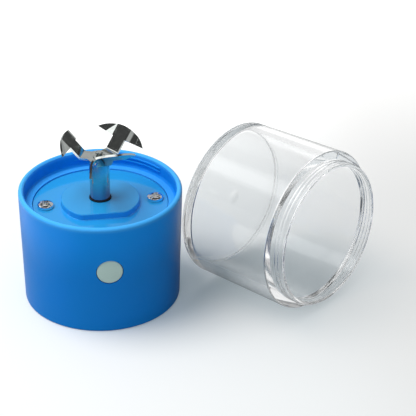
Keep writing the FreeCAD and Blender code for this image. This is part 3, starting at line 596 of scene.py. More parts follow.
def steel_group():
    """Rolled steel: fine lines along one direction, faint smudges and uneven gloss."""
    w, entry, leave = new_group("Rolled steel", "Line size", "Stretch", "Smudge")
    given = entry.outputs
    smear_fineness, smear_shade, smear_gloss = 0.05, 0.35, 0.25
    line_shade, line_gloss = 0.25, 0.08
    spot = w.here()
    fine = w.math("DIVIDE", 1.0, given["Line size"])
    scale = w.vector(fine, fine, w.math("DIVIDE", fine, given["Stretch"]))
    stretched = w.node("ShaderNodeVectorMath", (spot, scale), operation="MULTIPLY").outputs[0]
    lines = w.noise(stretched, 1.0, 4.0)
    smear = w.noise(spot, w.product(fine, smear_fineness), 5.0)
    swing = w.math("SUBTRACT", lines, 0.5)
    dull = w.product(w.between(smear, 0.45, 0.75), given["Smudge"])
    shade = w.rest(w.product(dull, smear_shade))
    shade = w.product(shade, w.math("MULTIPLY_ADD", swing, line_shade, 1.0))
    toned = w.node("ShaderNodeHueSaturation", {"Value": shade, "Color": given["Colour"]}).outputs[0]
    rough = w.math("MULTIPLY_ADD", swing, line_gloss, given["Roughness"])
    rough = w.math("MULTIPLY_ADD", dull, smear_gloss, rough)
    for socket, result in zip(leave.inputs, (toned, rough, lines)):
        w.join(result, socket)
    return w.tree


SHARED = {}


def shared(name, maker):
    """A node tree or material that is built once and used by many."""
    if name not in SHARED:
        SHARED[name] = maker()
    return SHARED[name]


def new_material(name, group, values, bump, **settings):
    """A Principled material whose colour, roughness and bump come from a shared group."""
    material = bpy.data.materials.new(name)
    material.use_nodes = True
    w = Wires(material.node_tree)
    shader = material.node_tree.nodes["Principled BSDF"]
    effect = w.node("ShaderNodeGroup", node_tree=group, name="Effect")
    for label, value in values.items():
        effect.inputs[label].default_value = value
    height = {"Height": effect.outputs["Height"], "Distance": bump, "Strength": 1.0}
    w.join(effect.outputs["Colour"], shader.inputs["Base Color"])
    w.join(effect.outputs["Roughness"], shader.inputs["Roughness"])
    w.join(w.node("ShaderNodeBump", height).outputs[0], shader.inputs["Normal"])
    for label, value in settings.items():
        shader.inputs[label.replace("_", " ")].default_value = value
    return material


def plastic(name, tint, roughness, cloud=14 * MM, spread=0.12, shade=0.10, bump=0.004 * MM, **settings):
    """Moulded plastic of one colour."""
    values = {
        "Colour": (*tint, 1.0), "Roughness": roughness, "Cloud size": cloud, "Tint": shade,
        "Gloss spread": spread,
    }
    return new_material(name, shared("skin", skin_group), values, bump, **settings)


def metal(name, tint, roughness, line=0.12 * MM, stretch=14.0, smudge=0.5, bump=0.001 * MM, **settings):
    """Rolled or turned metal of one tint."""
    values = {
        "Colour": (*tint, 1.0), "Roughness": roughness, "Line size": line, "Stretch": stretch,
        "Smudge": smudge,
    }
    return new_material(name, shared("steel", steel_group), values, bump, Metallic=1.0, **settings)


def tint_effect(w, tint):
    """Leads a tint that changes over the surface into a material's shared effect."""
    w.join(tint, w.tree.nodes["Effect"].inputs["Colour"])


def blue_plastic():
    """Blue plastic with painted light: paler up the outer wall, on the ledge and on the thin rim, as if lit
    more strongly from above.
    """
    s = bpy.context.scene.grinder_base
    material = plastic("blue_plastic", s.shell_colour, 0.30, IOR=1.28)
    w = Wires(material.node_tree)
    x, y, z = w.axes(w.here())
    radius = w.reach(x, y)
    rim_depth, ledge_inset, soft = 2.5 * MM, 1.1 * MM, 0.6 * MM
    # Painted light: the outer wall is painted paler towards its top, the inner part of the ledge and the
    # faces inside it paler, and the rim's top palest.
    outside = w.between(radius, s.socket_radius + soft / 2, s.socket_radius + soft)
    upper = w.product(outside, w.between(z, 0.45 * s.height, 0.95 * s.height))
    ledge_edge = s.socket_radius - ledge_inset
    ledge = w.between(radius, ledge_edge, ledge_edge + soft, 0.7, 0.0)
    rim = w.most(w.between(z, s.height - rim_depth, s.height), ledge)
    wall = w.blend(upper, s.shell_colour, s.wall_top_colour)
    tint_effect(w, w.blend(rim, wall, s.rim_colour))
    return material


def deck_gloss():
    # Painted light: a paler, greener blue than the shell's, for the strong light the deck takes from above.
    tint = bpy.context.scene.grinder_base.deck_colour
    return plastic("deck_gloss", tint, 0.09, spread=0.04, IOR=1.6)


def button_plastic():
    tint = bpy.context.scene.grinder_button.cap_colour
    return plastic("button_plastic", tint, 0.42, cloud=5 * MM, IOR=1.45)


def clear_plastic():
    """Clear plastic that lets the lamp's light through to what is behind it."""
    tint = bpy.context.scene.grinder_cup.clear_colour
    material = plastic(
        "clear_plastic", tint, 0.055, cloud=30 * MM, spread=0.03, shade=0.01, bump=0.0006 * MM, IOR=1.45,
        Transmission_Weight=1.0,
    )
    w = Wires(material.node_tree)
    nodes = material.node_tree.nodes
    lamp_tint = (0.93, 0.945, 0.955, 1.0)
    lets = w.node("ShaderNodeBsdfTransparent", (lamp_tint,)).outputs[0]
    lamp = w.node("ShaderNodeLightPath").outputs["Is Shadow Ray"]
    both = w.node("ShaderNodeMixShader", (lamp, nodes["Principled BSDF"].outputs[0], lets)).outputs[0]
    w.join(both, nodes["Material Output"].inputs["Surface"])
    return material


def polished_steel():
    tint = bpy.context.scene.grinder_cutter.steel_colour
    return metal("polished_steel", tint, 0.075, line=0.10 * MM, stretch=10.0, smudge=0.3)


def spindle_steel():
    """Turned steel whose tint drifts from its foot to its top."""
    s = bpy.context.scene.grinder_cutter
    material = metal(
        "spindle_steel", s.spindle_colour, 0.18, line=6.0 * MM, stretch=0.3, smudge=0.1, bump=0.0
    )
    w = Wires(material.node_tree)
    drift = w.between(w.axes(w.here())["Z"], DECK_HIGH.z, SPINDLE_HIGH.z)
    tint_effect(w, w.blend(drift, s.spindle_foot_colour, s.spindle_colour))
    return material


def screw_steel():
    tint = bpy.context.scene.grinder_screws.plating_colour
    return metal("screw_steel", tint, 0.06, line=0.3 * MM, stretch=1.0, smudge=0.4)


PLAIN_FINISHES = {
    "seal_rubber": (plastic, (0.012, 0.012, 0.013), 0.55, {"cloud": 1.5 * MM, "shade": 0.3}),
    "can_steel": (metal, (0.56, 0.57, 0.58), 0.32, {"stretch": 6.0}),
    "core_steel": (metal, (0.24, 0.25, 0.26), 0.45, {"line": 0.4 * MM, "stretch": 0.1}),
    "ferrite": (plastic, (0.035, 0.035, 0.038), 0.6, {"cloud": 1.2 * MM, "shade": 0.4}),
    "bush_bronze": (metal, (0.50, 0.33, 0.13), 0.4, {"stretch": 1.0}),
    "contact_brass": (metal, (0.66, 0.46, 0.17), 0.28, {}),
    "copper_wire": (metal, (0.52, 0.17, 0.05), 0.35, {"line": 0.3 * MM, "stretch": 0.15, "bump": 0.05 * MM}),
    "black_plastic": (plastic, (0.014, 0.014, 0.016), 0.45, {"cloud": 4 * MM, "shade": 0.3}),
    "board_laminate": (plastic, (0.012, 0.11, 0.04), 0.4, {"cloud": 2 * MM, "shade": 0.5}),
    "cell_sleeve": (plastic, (0.05, 0.07, 0.30), 0.35, {"cloud": 6 * MM, "shade": 0.25}),
    "lead_insulation": (plastic, (0.30, 0.012, 0.01), 0.5, {"cloud": 3 * MM, "shade": 0.25}),
}

MADE_FINISHES = (
    blue_plastic, deck_gloss, button_plastic, clear_plastic, polished_steel, spindle_steel, screw_steel
)
FINISHES = {maker.__name__: maker for maker in MADE_FINISHES}


def finish(slot):
    """The material of a slot, made when it is first asked for."""
    if slot in FINISHES:
        return shared(slot, FINISHES[slot])
    maker, tint, roughness, settings = PLAIN_FINISHES[slot]
    return shared(slot, lambda: maker(slot, tint, roughness, **settings))


# Base mouldings

def shell_outline(s):
    """Half section of the base housing."""
    ledge, lead_in = s.height - s.socket_depth, 0.6 * MM
    flange_top, flange_reach, flange_depth = DECK_LOW.z, 1.3 * MM, 1.8 * MM
    flange_edge, flange_low = s.seat_radius - flange_reach, flange_top - flange_depth
    cover_depth, foot_zone, wall_step = 2.4 * MM, 1.2 * MM, 3.0 * MM
    wall = stepped((s.foot_radius, 0), (s.rim_radius, s.height), wall_step)[2:-1]
    outline = rounded([
        (s.cover_radius, 0, 0.15 * MM),
        (s.foot_radius, 0, 0.6 * MM),
        (s.rim_radius, s.height, 1.2 * MM),
        (s.socket_radius + lead_in, s.height, 0.35 * MM),
        (s.socket_radius, s.height - lead_in, 0.3 * MM),
        (s.socket_radius, ledge, 1.0 * MM),
        (s.seat_radius, ledge, 0.08 * MM),
        (s.seat_radius, flange_top, 0),
        (flange_edge, flange_top, 0),
        (flange_edge, flange_low, 0),
        (s.cavity_radius, flange_low, 0.5 * MM),
        (s.cavity_radius, cover_depth, 0),
        (s.cover_radius, cover_depth, 0),
    ], 5)
    inner = s.cover_radius + 0.1 * MM
    foot_end = max(i for i, (r, z) in enumerate(outline) if z < foot_zone and r > inner)
    return outline[:foot_end + 1] + wall + outline[foot_end + 1:]


def button_frame(y):
    """Turns a piece on the Z axis to the front wall, with its zero at a distance along Y."""
    middle = (BUTTON_LOW.z + BUTTON_HIGH.z) / 2
    return Matrix.Translation((0, y, middle)) @ Matrix.Rotation(math.pi / 2, 4, "X")


def base_shell():
    s = bpy.context.scene.grinder_base
    b = bpy.context.scene.grinder_button
    blue = finish("blue_plastic")
    shell = new_piece("base_shell", turned_mesh(shell_outline(s), 240), blue)
    reach, depth, start = b.radius + b.gap, 12 * MM, -22 * MM
    hole = turned_mesh([(0, 0), (reach, 0), (reach, depth), (0, depth)], 72)
    hole.transform(button_frame(start))
    cut(shell, new_piece("button_hole", hole, blue))
    cut(shell, port_cutter())
    smooth(shell, 38)
    hand_over(shell, "base", "blue_plastic", "base_housing")


def port_cutter():
    """A rod of rounded slot section that opens the back wall for the charging socket."""
    gap, depth = 0.2 * MM, 12 * MM
    half_width = (PORT_HIGH.x - PORT_LOW.x) / 2 + gap
    half_height = (PORT_HIGH.z - PORT_LOW.z) / 2 + gap
    middle = (PORT_HIGH.z + PORT_LOW.z) / 2
    corners = []
    for x, z in ((-1, -1), (1, -1), (1, 1), (-1, 1)):
        corners.append((x * half_width, z * half_height, half_height - 1e-6))
    slot = [(x, PORT_LOW.y, middle + z) for x, z in rounded(corners, 8)]
    return new_piece("port_slot", prism(slot, (0, depth, 0)), finish("blue_plastic"))


def rim_ridges():
    s = bpy.context.scene.grinder_base
    ridges = new_piece("rim_ridges", bmesh.new(), finish("blue_plastic"))
    run_tree(
        ridges, shared("ridges", ridge_tree), finish("blue_plastic"),
        Wall_radius=s.socket_radius, Level=s.height - s.ridge_height, Pitch=s.ridge_pitch, Rise=s.ridge_rise,
        Start=s.ridge_start, Sweep=s.ridge_sweep, Half_width=s.ridge_radius, Ridges=2, Groups=s.ridge_pairs,
    )
    smooth(ridges, 60)
    hand_over(ridges, "base", "blue_plastic")


def boss_radius(s, inset):
    """Distance of the boss's side from the axis at an angle, drawn in by an inset."""
    big, flat, corner = s.boss_radius - inset, s.boss_flat - inset, s.boss_corner - inset
    centre_y = flat - corner
    centre_x = math.sqrt((big - corner) ** 2 - centre_y ** 2)

    def reach(turn):
        c, n = abs(math.cos(turn)), abs(math.sin(turn))
        if math.atan2(n, c) < math.atan2(centre_y, centre_x):
            return big
        if n * centre_x >= c * flat:
            return flat / n
        across = c * centre_x + n * centre_y
        return across + math.sqrt(across ** 2 - centre_x ** 2 - centre_y ** 2 + corner ** 2)

    return reach


def deck_plate():
    s = bpy.context.scene.grinder_base
    top = DECK_HIGH.z - s.boss_height
    hole = s.seal_radius
    blend, crown, edge, lip, steps = 0.35 * MM, 0.45 * MM, 0.08 * MM, 0.15 * MM, 5
    outline = [(hole, DECK_LOW.z), (DECK_HIGH.x, DECK_LOW.z)]
    outline += [(DECK_HIGH.x, top - edge), (DECK_HIGH.x - edge, top)]
    turns = [math.pi / 2 * k / steps for k in range(steps + 1)]
    for turn in turns:
        side = boss_radius(s, blend * (math.sin(turn) - 1))
        outline.append((side, top + blend * (1 - math.cos(turn))))
    for turn in turns:
        side = boss_radius(s, crown * (1 - math.cos(turn)))
        outline.append((side, DECK_HIGH.z - crown * (1 - math.sin(turn))))
    outline += [(hole + lip, DECK_HIGH.z), (hole, DECK_HIGH.z - lip)]
    deck = smooth(new_piece("deck", turned_mesh(outline, 240), finish("deck_gloss")))
    hand_over(deck, "base", "blue_plastic", "deck_plate")


# Fasteners

def cross_cutter(span, slot, top, bottom):
    """A cross that narrows from the top to the bottom."""
    bm = bmesh.new()
    rings = []
    low_arm, low_half = span * 0.42, slot * 0.36
    for height, arm, half in ((bottom, low_arm, low_half), (top, span / 2, slot / 2)):
        quarter = [(arm, -half), (arm, half), (half, half)]
        ring = []
        for k in range(4):
            spin = Matrix.Rotation(math.pi / 2 * k, 3, "Z")
            ring += [bm.verts.new(spin @ Vector((x, y, height))) for x, y in quarter]
        rings.append(ring)
    for k in range(len(rings[0])):
        bm.faces.new((rings[0][k - 1], rings[0][k], rings[1][k], rings[1][k - 1]))
    bm.faces.new(rings[0])
    bm.faces.new(rings[1])
    bmesh.ops.recalc_face_normals(bm, faces=bm.faces)
    return bm


def screw(name, head, head_radius, head_top, tip, coat="screw_steel", depth=None):
    """One cross-head screw on the Z axis with a threaded shank; head gives the head's outline."""
    s = bpy.context.scene.grinder_screws
    shank = s.shank_radius
    thread_depth = 0.16 * shank
    seat = head[-1][1]
    outline = [(0, head_top)] + head
    outline += stepped((shank, seat), (shank, tip + shank), s.pitch / 8) + [(shank, tip + shank), (0, tip)]
    steel = finish(coat)
    piece = new_piece(name, turned_mesh(outline, 56), steel)
    run_tree(
        piece, shared("thread", thread_tree), steel, Wall_radius=shank, Low=tip + shank, High=seat,
        Pitch=s.pitch, Depth=thread_depth, Sharpness=1.0,
    )
    depth = depth or s.recess_depth * (head_top - seat)
    span, slot = 2 * head_radius * s.recess_span, 2 * head_radius * s.recess_slot
    recess = cross_cutter(span, slot, head_top + depth, head_top - depth)
    cut(piece, new_piece("cross", recess, steel))
    return smooth(piece, 40)


def pan_head(radius, seat, top):
    """Low domed head outline from the crown down to the seat."""
    shank = bpy.context.scene.grinder_screws.shank_radius
    dome = 0.40 * (top - seat)
    steps = 6
    crown = [(radius * k / steps, top - dome * (k / steps) ** 2, 0) for k in range(1, steps)]
    side = [(radius, top - dome, 0.15 * radius), (radius, seat, 0.06 * radius), (shank + 1e-5, seat, 0)]
    return rounded(crown + side, 4)


def lay_pair(one, low, high, head_radius, first, step, node):
    """Copies a screw to both ends of a box in place of a node; the turns are in degrees."""
    run_tree(
        one, shared("row", screw_row_tree), finish("screw_steel"), Spacing=high.x - low.x - 2 * head_radius,
        Screws=2, First_turn=math.radians(first), Turn_step=math.radians(step),
    )
    hand_over(one, "base", "screw_steel", node)


def deck_screws():
    head_radius = 3.0 * MM
    seat = DECK_HIGH.z - bpy.context.scene.grinder_base.boss_height
    top = DECK_SCREW_HIGH.z
    one = screw("deck_screws_bright", pan_head(head_radius, seat, top), head_radius, top, DECK_SCREW_LOW.z)
    lay_pair(one, DECK_SCREW_LOW, DECK_SCREW_HIGH, head_radius, 37, -60, "deck_screws")


def cover_screws():
    s = bpy.context.scene.grinder_screws
    head_radius, edge = COVER_SCREW_HIGH.y, 0.1 * MM
    face, tip = COVER_SCREW_LOW.z, COVER_SCREW_HIGH.z
    seat = face + head_radius - s.shank_radius
    head = [(head_radius - edge, -face), (head_radius, -face - edge), (s.shank_radius + 1e-5, -seat)]
    one = screw("cover_screws_bright", head, head_radius, -face, -tip)
    place(one, Matrix.Rotation(math.pi, 4, "X"))
    lay_pair(one, COVER_SCREW_LOW, COVER_SCREW_HIGH, head_radius, 15, 50, "cover_screws")


def blade_screw():
    head_radius, top = BLADE_SCREW_HIGH.x, BLADE_SCREW_HIGH.z
    recess_radius, recess_depth = 0.7 * head_radius, 1.2 * MM
    seat = SPINDLE_HIGH.z + bpy.context.scene.grinder_cutter.sheet
    head = pan_head(head_radius, seat, top)
    one = screw(
        "blade_screw_dull", head, recess_radius, top, BLADE_SCREW_LOW.z, "polished_steel", recess_depth
    )
    place(one, Matrix.Rotation(math.radians(20), 4, "Z"))
    hand_over(one, "rotor", "screw_steel", "blade_screw")


# Spindle, seal and cutter

def spindle():
    radius, low, high = SPINDLE_HIGH.x, SPINDLE_LOW.z, SPINDLE_HIGH.z
    corner, bore = 0.25 * MM, 1.15 * MM
    bore_top = high - 4 * MM
    outline = rounded([
        (bore, low, 0),
        (radius, low, corner),
        (radius, high, corner),
        (0, high, 0),
        (0, bore_top, 0),
        (bore, bore_top, 0),
    ])
    piece = smooth(new_piece("spindle", turned_mesh(outline, 96), finish("spindle_steel")))
    hand_over(piece, "rotor", "polished_steel", "blade_spindle")


def shaft_seal():
    inner = SPINDLE_HIGH.x + 0.05 * MM
    outer = bpy.context.scene.grinder_base.seal_radius
    lip = (outer - inner) * 0.45
    step = SEAL_LOW.z + 2.2 * MM
    outline = rounded([
        (inner, SEAL_LOW.z, 0),
        (SEAL_HIGH.x, SEAL_LOW.z, 0),
        (SEAL_HIGH.x, step, 0),
        (outer, step, 0),
        (outer, SEAL_HIGH.z, lip),
        (inner, SEAL_HIGH.z, lip),
    ])
    piece = smooth(new_piece("seal_ring", turned_mesh(outline, 96), finish("seal_rubber")))
    hand_over(piece, "base", "seal_rubber", "shaft_seal")


def blank_outline(s):
    """One arm of the flat blank: (distance along the arm from the axis, distance across it)."""
    half = s.arm_width / 2
    sector = math.pi / s.arm_count
    edge = math.asin(half / s.hub_radius)
    points = [(0.0, 0.0)]
    for k in range(5):
        turn = -sector + (sector - edge) * k / 4
        points.append((s.hub_radius * math.cos(turn), s.hub_radius * math.sin(turn)))
    chord = s.fold_radius + s.head_chord
    slope = math.tan(s.wing_sweep)
    points.append((chord, -half))
    # The wing's edge meets the round blank where along squared plus across squared is its radius squared
    start = chord - half * slope
    root = (s.blank_radius ** 2) * (1 + slope ** 2) - start ** 2
    tip = (math.sqrt(root) - start * slope) / (1 + slope ** 2)
    tip_turn = math.asin(tip / s.blank_radius)
    steps = 40
    for k in range(steps + 1):
        turn = tip_turn * (2 * k / steps - 1)
        points.append((s.blank_radius * math.cos(turn), s.blank_radius * math.sin(turn)))
    points.append((chord, half))
    points += [(x, -y) for x, y in reversed(points[1:6])]
    return points


def bent(s, along, across):
    """Where a point of the flat blank lies once the wing is shaped and the arm is bent up."""
    side, rise = across, 0.0
    if across > s.crease_offset:
        out = across - s.crease_offset
        side = s.crease_offset + out * math.cos(s.crease_angle)
        rise = out * math.sin(s.crease_angle)
        dip = max(s.dip_reach - (along - s.dip_start) * math.tan(s.dip_slant), 0)
        rise -= min(out, dip) * math.tan(s.dip_angle)
        rise += max(out - dip, 0) * math.tan(s.dip_return)
    elif across < -s.curl_offset:
        out = -across - s.curl_offset
        turn = min(out / s.curl_radius, s.curl_angle)
        rest = out - turn * s.curl_radius
        side = -s.curl_offset - s.curl_radius * math.sin(turn) - rest * math.cos(turn)
        rise = -s.curl_radius * (1 - math.cos(turn)) - rest * math.sin(turn)
    setback = s.bend_radius * math.tan(s.arm_rise / 2)
    start = s.fold_radius - setback
    if along < start:
        return Vector((along, side, rise))
    if along < start + 2 * setback:
        turn = (along - start) / (2 * setback) * s.arm_rise
        reach = s.bend_radius - rise
        return Vector((start + reach * math.sin(turn), side, s.bend_radius - reach * math.cos(turn)))
    out = along - s.fold_radius
    c, n = math.cos(s.arm_rise), math.sin(s.arm_rise)
    return Vector((s.fold_radius + out * c - rise * n, side, out * n + rise * c))


def slice_sheet(bm, direction, places):
    """Cuts a flat sheet along straight lines, so that it can bend there."""
    for spot in places:
        geometry = bm.verts[:] + bm.edges[:] + bm.faces[:]
        bmesh.ops.bisect_plane(bm, geom=geometry, dist=1e-8, plane_co=direction * spot, plane_no=direction)


def cutter():
    s = bpy.context.scene.grinder_cutter
    bm = bmesh.new()
    bm.faces.new([bm.verts.new((x, y, 0)) for x, y in blank_outline(s)])
    setback = s.bend_radius * math.tan(s.arm_rise / 2)
    fold_steps, curl_steps = 12, 32
    fold = [s.fold_radius + setback * (k / fold_steps - 1) for k in range(2 * fold_steps + 1)]
    curl_length = s.curl_radius * s.curl_angle
    curl = [-s.curl_offset - curl_length * k / curl_steps for k in range(curl_steps + 1)]
    slice_sheet(bm, Vector((1, 0, 0)), fold)
    slice_sheet(bm, Vector((0, 1, 0)), curl + [s.crease_offset])
    across_dip = Vector((math.sin(s.dip_slant), math.cos(s.dip_slant), 0))
    slice_sheet(bm, across_dip, [across_dip.dot((s.dip_start, s.crease_offset + s.dip_reach, 0))])
    for vert in bm.verts:
        vert.co = bent(s, vert.co.x, vert.co.y)
    arm = bm.verts[:] + bm.edges[:] + bm.faces[:]
    for k in range(1, s.arm_count):
        copy = bmesh.ops.duplicate(bm, geom=arm)["geom"]
        verts = [v for v in copy if isinstance(v, bmesh.types.BMVert)]
        bmesh.ops.rotate(bm, verts=verts, matrix=Matrix.Rotation(FULL_TURN * k / s.arm_count, 3, "Z"))
    bmesh.ops.remove_doubles(bm, verts=bm.verts, dist=1e-6)
    bmesh.ops.recalc_face_normals(bm, faces=bm.faces)
    middle = SPINDLE_HIGH.z + s.sheet / 2
    bm.transform(Matrix.Translation((0, 0, middle)) @ Matrix.Rotation(s.arm_turn, 4, "Z"))
    piece = new_piece("cutter", bm, finish("polished_steel"))
    wall = piece.modifiers.new("Sheet", "SOLIDIFY")
    wall.thickness = s.sheet
    wall.offset = 0.0
    wall.use_even_offset = True
    edges = piece.modifiers.new("Edges", "BEVEL")
    edges.width = s.edge_round
    edges.segments = 2
    edges.limit_method = "ANGLE"
    edges.angle_limit = math.radians(50)
    settle(piece)
    smooth(piece, 3.4)
    hand_over(piece, "rotor", "polished_steel", "blade")


# Button and cup

def push_button():
    s = bpy.context.scene.grinder_button
    face, back = -BUTTON_LOW.y, -BUTTON_HIGH.y
    flange, flange_front = (BUTTON_HIGH.x - BUTTON_LOW.x) / 2, face - 2.5 * MM
    flange_back, flange_round = flange_front - 0.8 * MM, 0.15 * MM
    stem, crown, steps = 2.0 * MM, 0.3 * MM, 8
    dome = []
    for k in range(steps):
        part = k / steps
        dome.append((part * (s.radius - s.edge_round), face - crown * part ** 2, 0))
    outline = rounded(dome + [
        (s.radius, face - crown, s.edge_round),
        (s.radius, flange_front, 0),
        (flange, flange_front, flange_round),
        (flange, flange_back, flange_round),
        (stem, flange_back, 0),
        (stem, back, 0),
        (0, back, 0),
    ])
    bm = turned_mesh(outline, 96)
    bm.transform(button_frame(0))
    piece = smooth(new_piece("button_cap", bm, finish("button_plastic")))
    hand_over(piece, "button", "button_plastic", "push_button")


def cup_frame(s):
    """Places the cup's own frame, with Z from its closed end to its mouth."""
    cavity = MOUNTS["cup_cavity"]
    axis = Vector(cavity["axis"]).normalized()
    mouth = Vector(cavity["pos_m"]) + axis * cavity["dims"]["length_mm"] * MM / 2
    up = Vector((0, 0, 1))
    side = up.cross(axis).normalized()
    turn = Matrix((side, axis.cross(side), axis)).transposed().to_4x4()
    return Matrix.Translation(mouth - axis * (s.body_length + s.neck_length)) @ turn


def cup_outline(s):
    """Half section of the cup from the middle of its closed end, round the mouth, to the floor inside."""
    bore = MOUNTS["cup_cavity"]["dims"]["r_mm"] * MM
    mouth = s.body_length + s.neck_length
    groove, half, groove_depth = 1.8 * MM, 0.45 * MM, 0.32 * MM
    gate, gate_steps, lip = 0.6 * MM, 8, 0.45 * MM
    side = s.end_radius + (s.collar_radius - s.end_radius) * groove / s.body_length
    outside = rounded([
        (0, 0, 0),
        (s.end_radius, 0, s.end_round),
        (side, groove - half, 0.1 * MM),
        (side - groove_depth, groove, 0.15 * MM),
        (side, groove + half, 0.1 * MM),
        (s.collar_radius, s.body_length, 0.5 * MM),
        (s.neck_radius, s.body_length, 0),
    ])
    neck = stepped((s.neck_radius, s.body_length), (s.neck_radius, mouth - 0.4 * MM), 0.06 * MM)[1:]
    inside = rounded([
        (s.neck_radius, mouth - 0.5 * MM, 0),
        (s.neck_radius, mouth, lip),
        (bore, mouth, lip),
        (bore, s.floor, 1.2 * MM),
        (s.gate_radius, s.floor, 0),
    ])
    dimple = []
    for k in range(gate_steps, -1, -1):
        fall = gate * (1 + math.cos(math.pi * k / gate_steps)) / 2
        dimple.append((s.gate_radius * k / gate_steps, s.floor - fall))
    return outside + neck + inside[1:-1] + dimple


def grinding_cup():
    s = bpy.context.scene.grinder_cup
    clear = finish("clear_plastic")
    piece = new_piece("cup_clear", turned_mesh(cup_outline(s), 288), clear)
    run_tree(
        piece, shared("thread", thread_tree), clear, Wall_radius=s.neck_radius, Low=s.body_length + 0.3 * MM,
        High=s.body_length + s.neck_length - 0.4 * MM, Pitch=s.thread_pitch, Depth=s.thread_depth,
        Sharpness=s.thread_sharpness,
    )
    place(piece, cup_frame(s))
    smooth(piece, 50)
    hand_over(piece, "cup", "clear_plastic", "grinding_cup")


def cup_rib():
    """A short moulded rib across the collar's step."""
    s = bpy.context.scene.grinder_cup
    half, high, sunk = s.rib_width / 2, s.rib_width, 0.1 * MM
    low, top = s.neck_radius + s.thread_depth, s.collar_radius - 0.5 * MM
    section = rounded([(-half, -sunk, 0), (half, -sunk, 0), (half, high, half), (-half, high, half)], 6)
    bm = prism([(low, x, s.body_length + z) for x, z in section], (top - low, 0, 0))
    bm.transform(cup_frame(s) @ Matrix.Rotation(s.rib_turn, 4, "Z"))
    rib = smooth(new_piece("cup_rib", bm, finish("clear_plastic")))
    hand_over(rib, "cup", "clear_plastic")


# Pieces that stay as they are in the frame

def frame_finishes():
    for name, node in frame["nodes"].items():
        node.data.materials.clear()
        node.data.materials.append(finish(NODE_SLOTS[name]))


# Stage

def stage_floor(s):
    """A wide pale table that looks white and bounces less light than it shows.

    Metal sees it darker in front and paler on the left. Through the cup, its right front corner is dark.
    """
    bm = bmesh.new()
    bmesh.ops.create_grid(bm, x_segments=1, y_segments=1, size=6.0)
    material = bpy.data.materials.new("table")
    material.use_nodes = True
    w = Wires(material.node_tree)
    shader = material.node_tree.nodes["Principled BSDF"]
    rays = w.node("ShaderNodeLightPath").outputs
    x, y = w.axes(w.here())[:2]
    in_front = w.product(s.floor_mirror, w.between(y, -0.06, 0.0, 0.3, 1.0))
    mirror = w.most(in_front, w.between(x, -0.07, -0.035, 0.95, 0.0))
    # Painted shade: a dark patch on the table's right front corner, seen only through the cup, so that the
    # cutter's curl mirrors it dark.
    corner = w.product(w.between(x, 0.14, 0.17), w.between(y, -0.06, -0.03, 1.0, 0.0))
    corner = w.product(corner, rays["Is Transmission Ray"])
    clear = w.most(rays["Is Camera Ray"], rays["Is Transmission Ray"])
    clear = w.math("SUBTRACT", clear, corner)
    bounced = w.mix(rays["Is Glossy Ray"], s.floor_bounce, mirror)
    bounced = w.mix(corner, bounced, s.side_level)
    far = w.most(w.between(y, 0.04, 0.24), w.between(x, -0.26, -0.06, 1.0, 0.0))
    # Painted shadow: to the right of the cup the table's glow drops by half, as a soft shadow.
    painted_shadow_fade = w.most(far, w.between(x, 0.06, 0.13, 1.0, 0.5))
    w.join(w.blend(clear, bounced, s.floor_colour), shader.inputs["Base Color"])
    w.join(w.blend(far, s.shade_colour, WHITE), shader.inputs["Emission Color"])
    w.join(w.product(clear, painted_shadow_fade), shader.inputs["Emission Strength"])
    shader.inputs["Roughness"].default_value = 0.8
    shader.inputs["Specular IOR Level"].default_value = 0.0
    new_piece("table_top", bm, material)


# Parts of the studio as soft-edged limits on a direction: an axis, where the part begins, where it is full
STUDIO = {
    "front": (("y", -0.25, -0.45), ("z", 0.68, 0.60)),
    "left": (("z", 0.31, 0.34), ("x", -0.36, -0.58)),
    "left_back": (("y", -0.12, -0.02),),
    "left_low": (("z", 0.64, 0.58),),
    "right": (("z", 0.02, 0.08), ("z", 0.285, 0.262), ("x", 0.74, 0.78)),
    "window": (("y", 0.235, 0.275), ("y", 0.45, 0.40), ("x", -0.68, -0.74)),
    "box": (("x", -0.74, -0.68), ("x", -0.40, -0.48), ("y", 0.0, 0.08), ("z", 0.66, 0.70)),
    "ceiling": (("z", 0.70, 0.80),),
    "zenith": (("z", 0.86, 0.93),),
    "strip": (("y", -0.20, -0.28), ("z", 0.74, 0.79), ("z", 0.925, 0.905)),
    "overhead": (("y", 0.36, 0.40), ("z", 0.83, 0.86)),
    "clear_front": (("y", -0.25, -0.45),),
    "clear_sides": (("across", 0.50, 0.75),),
    "over_table": (("z", -0.05, 0.05),),
    "upper": (("z", 0.25, 0.35),),
}


def stage_world(s):
    """Even cool fill; the camera sees white, and metal and clear plastic meet the studio's parts."""
    world = bpy.data.worlds.new("studio")
    bpy.context.scene.world = world
    world.use_nodes = True
    w = Wires(world.node_tree)
    rays = w.node("ShaderNodeLightPath").outputs
    x, y, z = w.axes(w.node("ShaderNodeTexCoord").outputs["Generated"])
    axis = {"x": x, "y": y, "z": z, "across": w.math("ABSOLUTE", x)}
    part = {}
    for name, limits in STUDIO.items():
        part[name] = w.product(*(w.between(axis[key], begin, full) for key, begin, full in limits))
    left = w.product(part["left"], w.most(part["left_back"], part["left_low"]), w.rest(part["window"]))
    ceiling = w.product(w.most(left, part["ceiling"]), w.rest(part["box"]))
    dark = w.most(part["right"], part["front"], ceiling, part["zenith"])
    dark = w.product(dark, w.rest(part["strip"]))
    bright = w.most(part["window"], part["strip"])
    mirrored = w.mix(part["box"], w.mix(bright, s.back_level, s.window_level), s.box_level)
    mirrored = w.mix(dark, mirrored, s.side_level)
    walls = w.product(w.most(part["clear_sides"], part["clear_front"]), part["over_table"])
    through = w.mix(walls, 1.0, s.clear_side_level)
    through = w.mix(part["upper"], through, mirrored)
    mirrored = w.most(mirrored, w.product(part["overhead"], s.overhead_level))
    fill = w.product(s.fill_level, w.math("MULTIPLY_ADD", x, -s.fill_lean, 1.0))
    shown = w.mix(rays["Is Transmission Ray"], w.mix(rays["Is Glossy Ray"], fill, mirrored), through)
    shown = w.mix(rays["Is Camera Ray"], shown, 1.0)
    seen = w.most(rays["Is Camera Ray"], rays["Is Glossy Ray"], rays["Is Transmission Ray"])
    background = world.node_tree.nodes["Background"]
    w.join(w.blend(seen, s.fill_colour, WHITE), background.inputs["Color"])
    w.join(shown, background.inputs["Strength"])


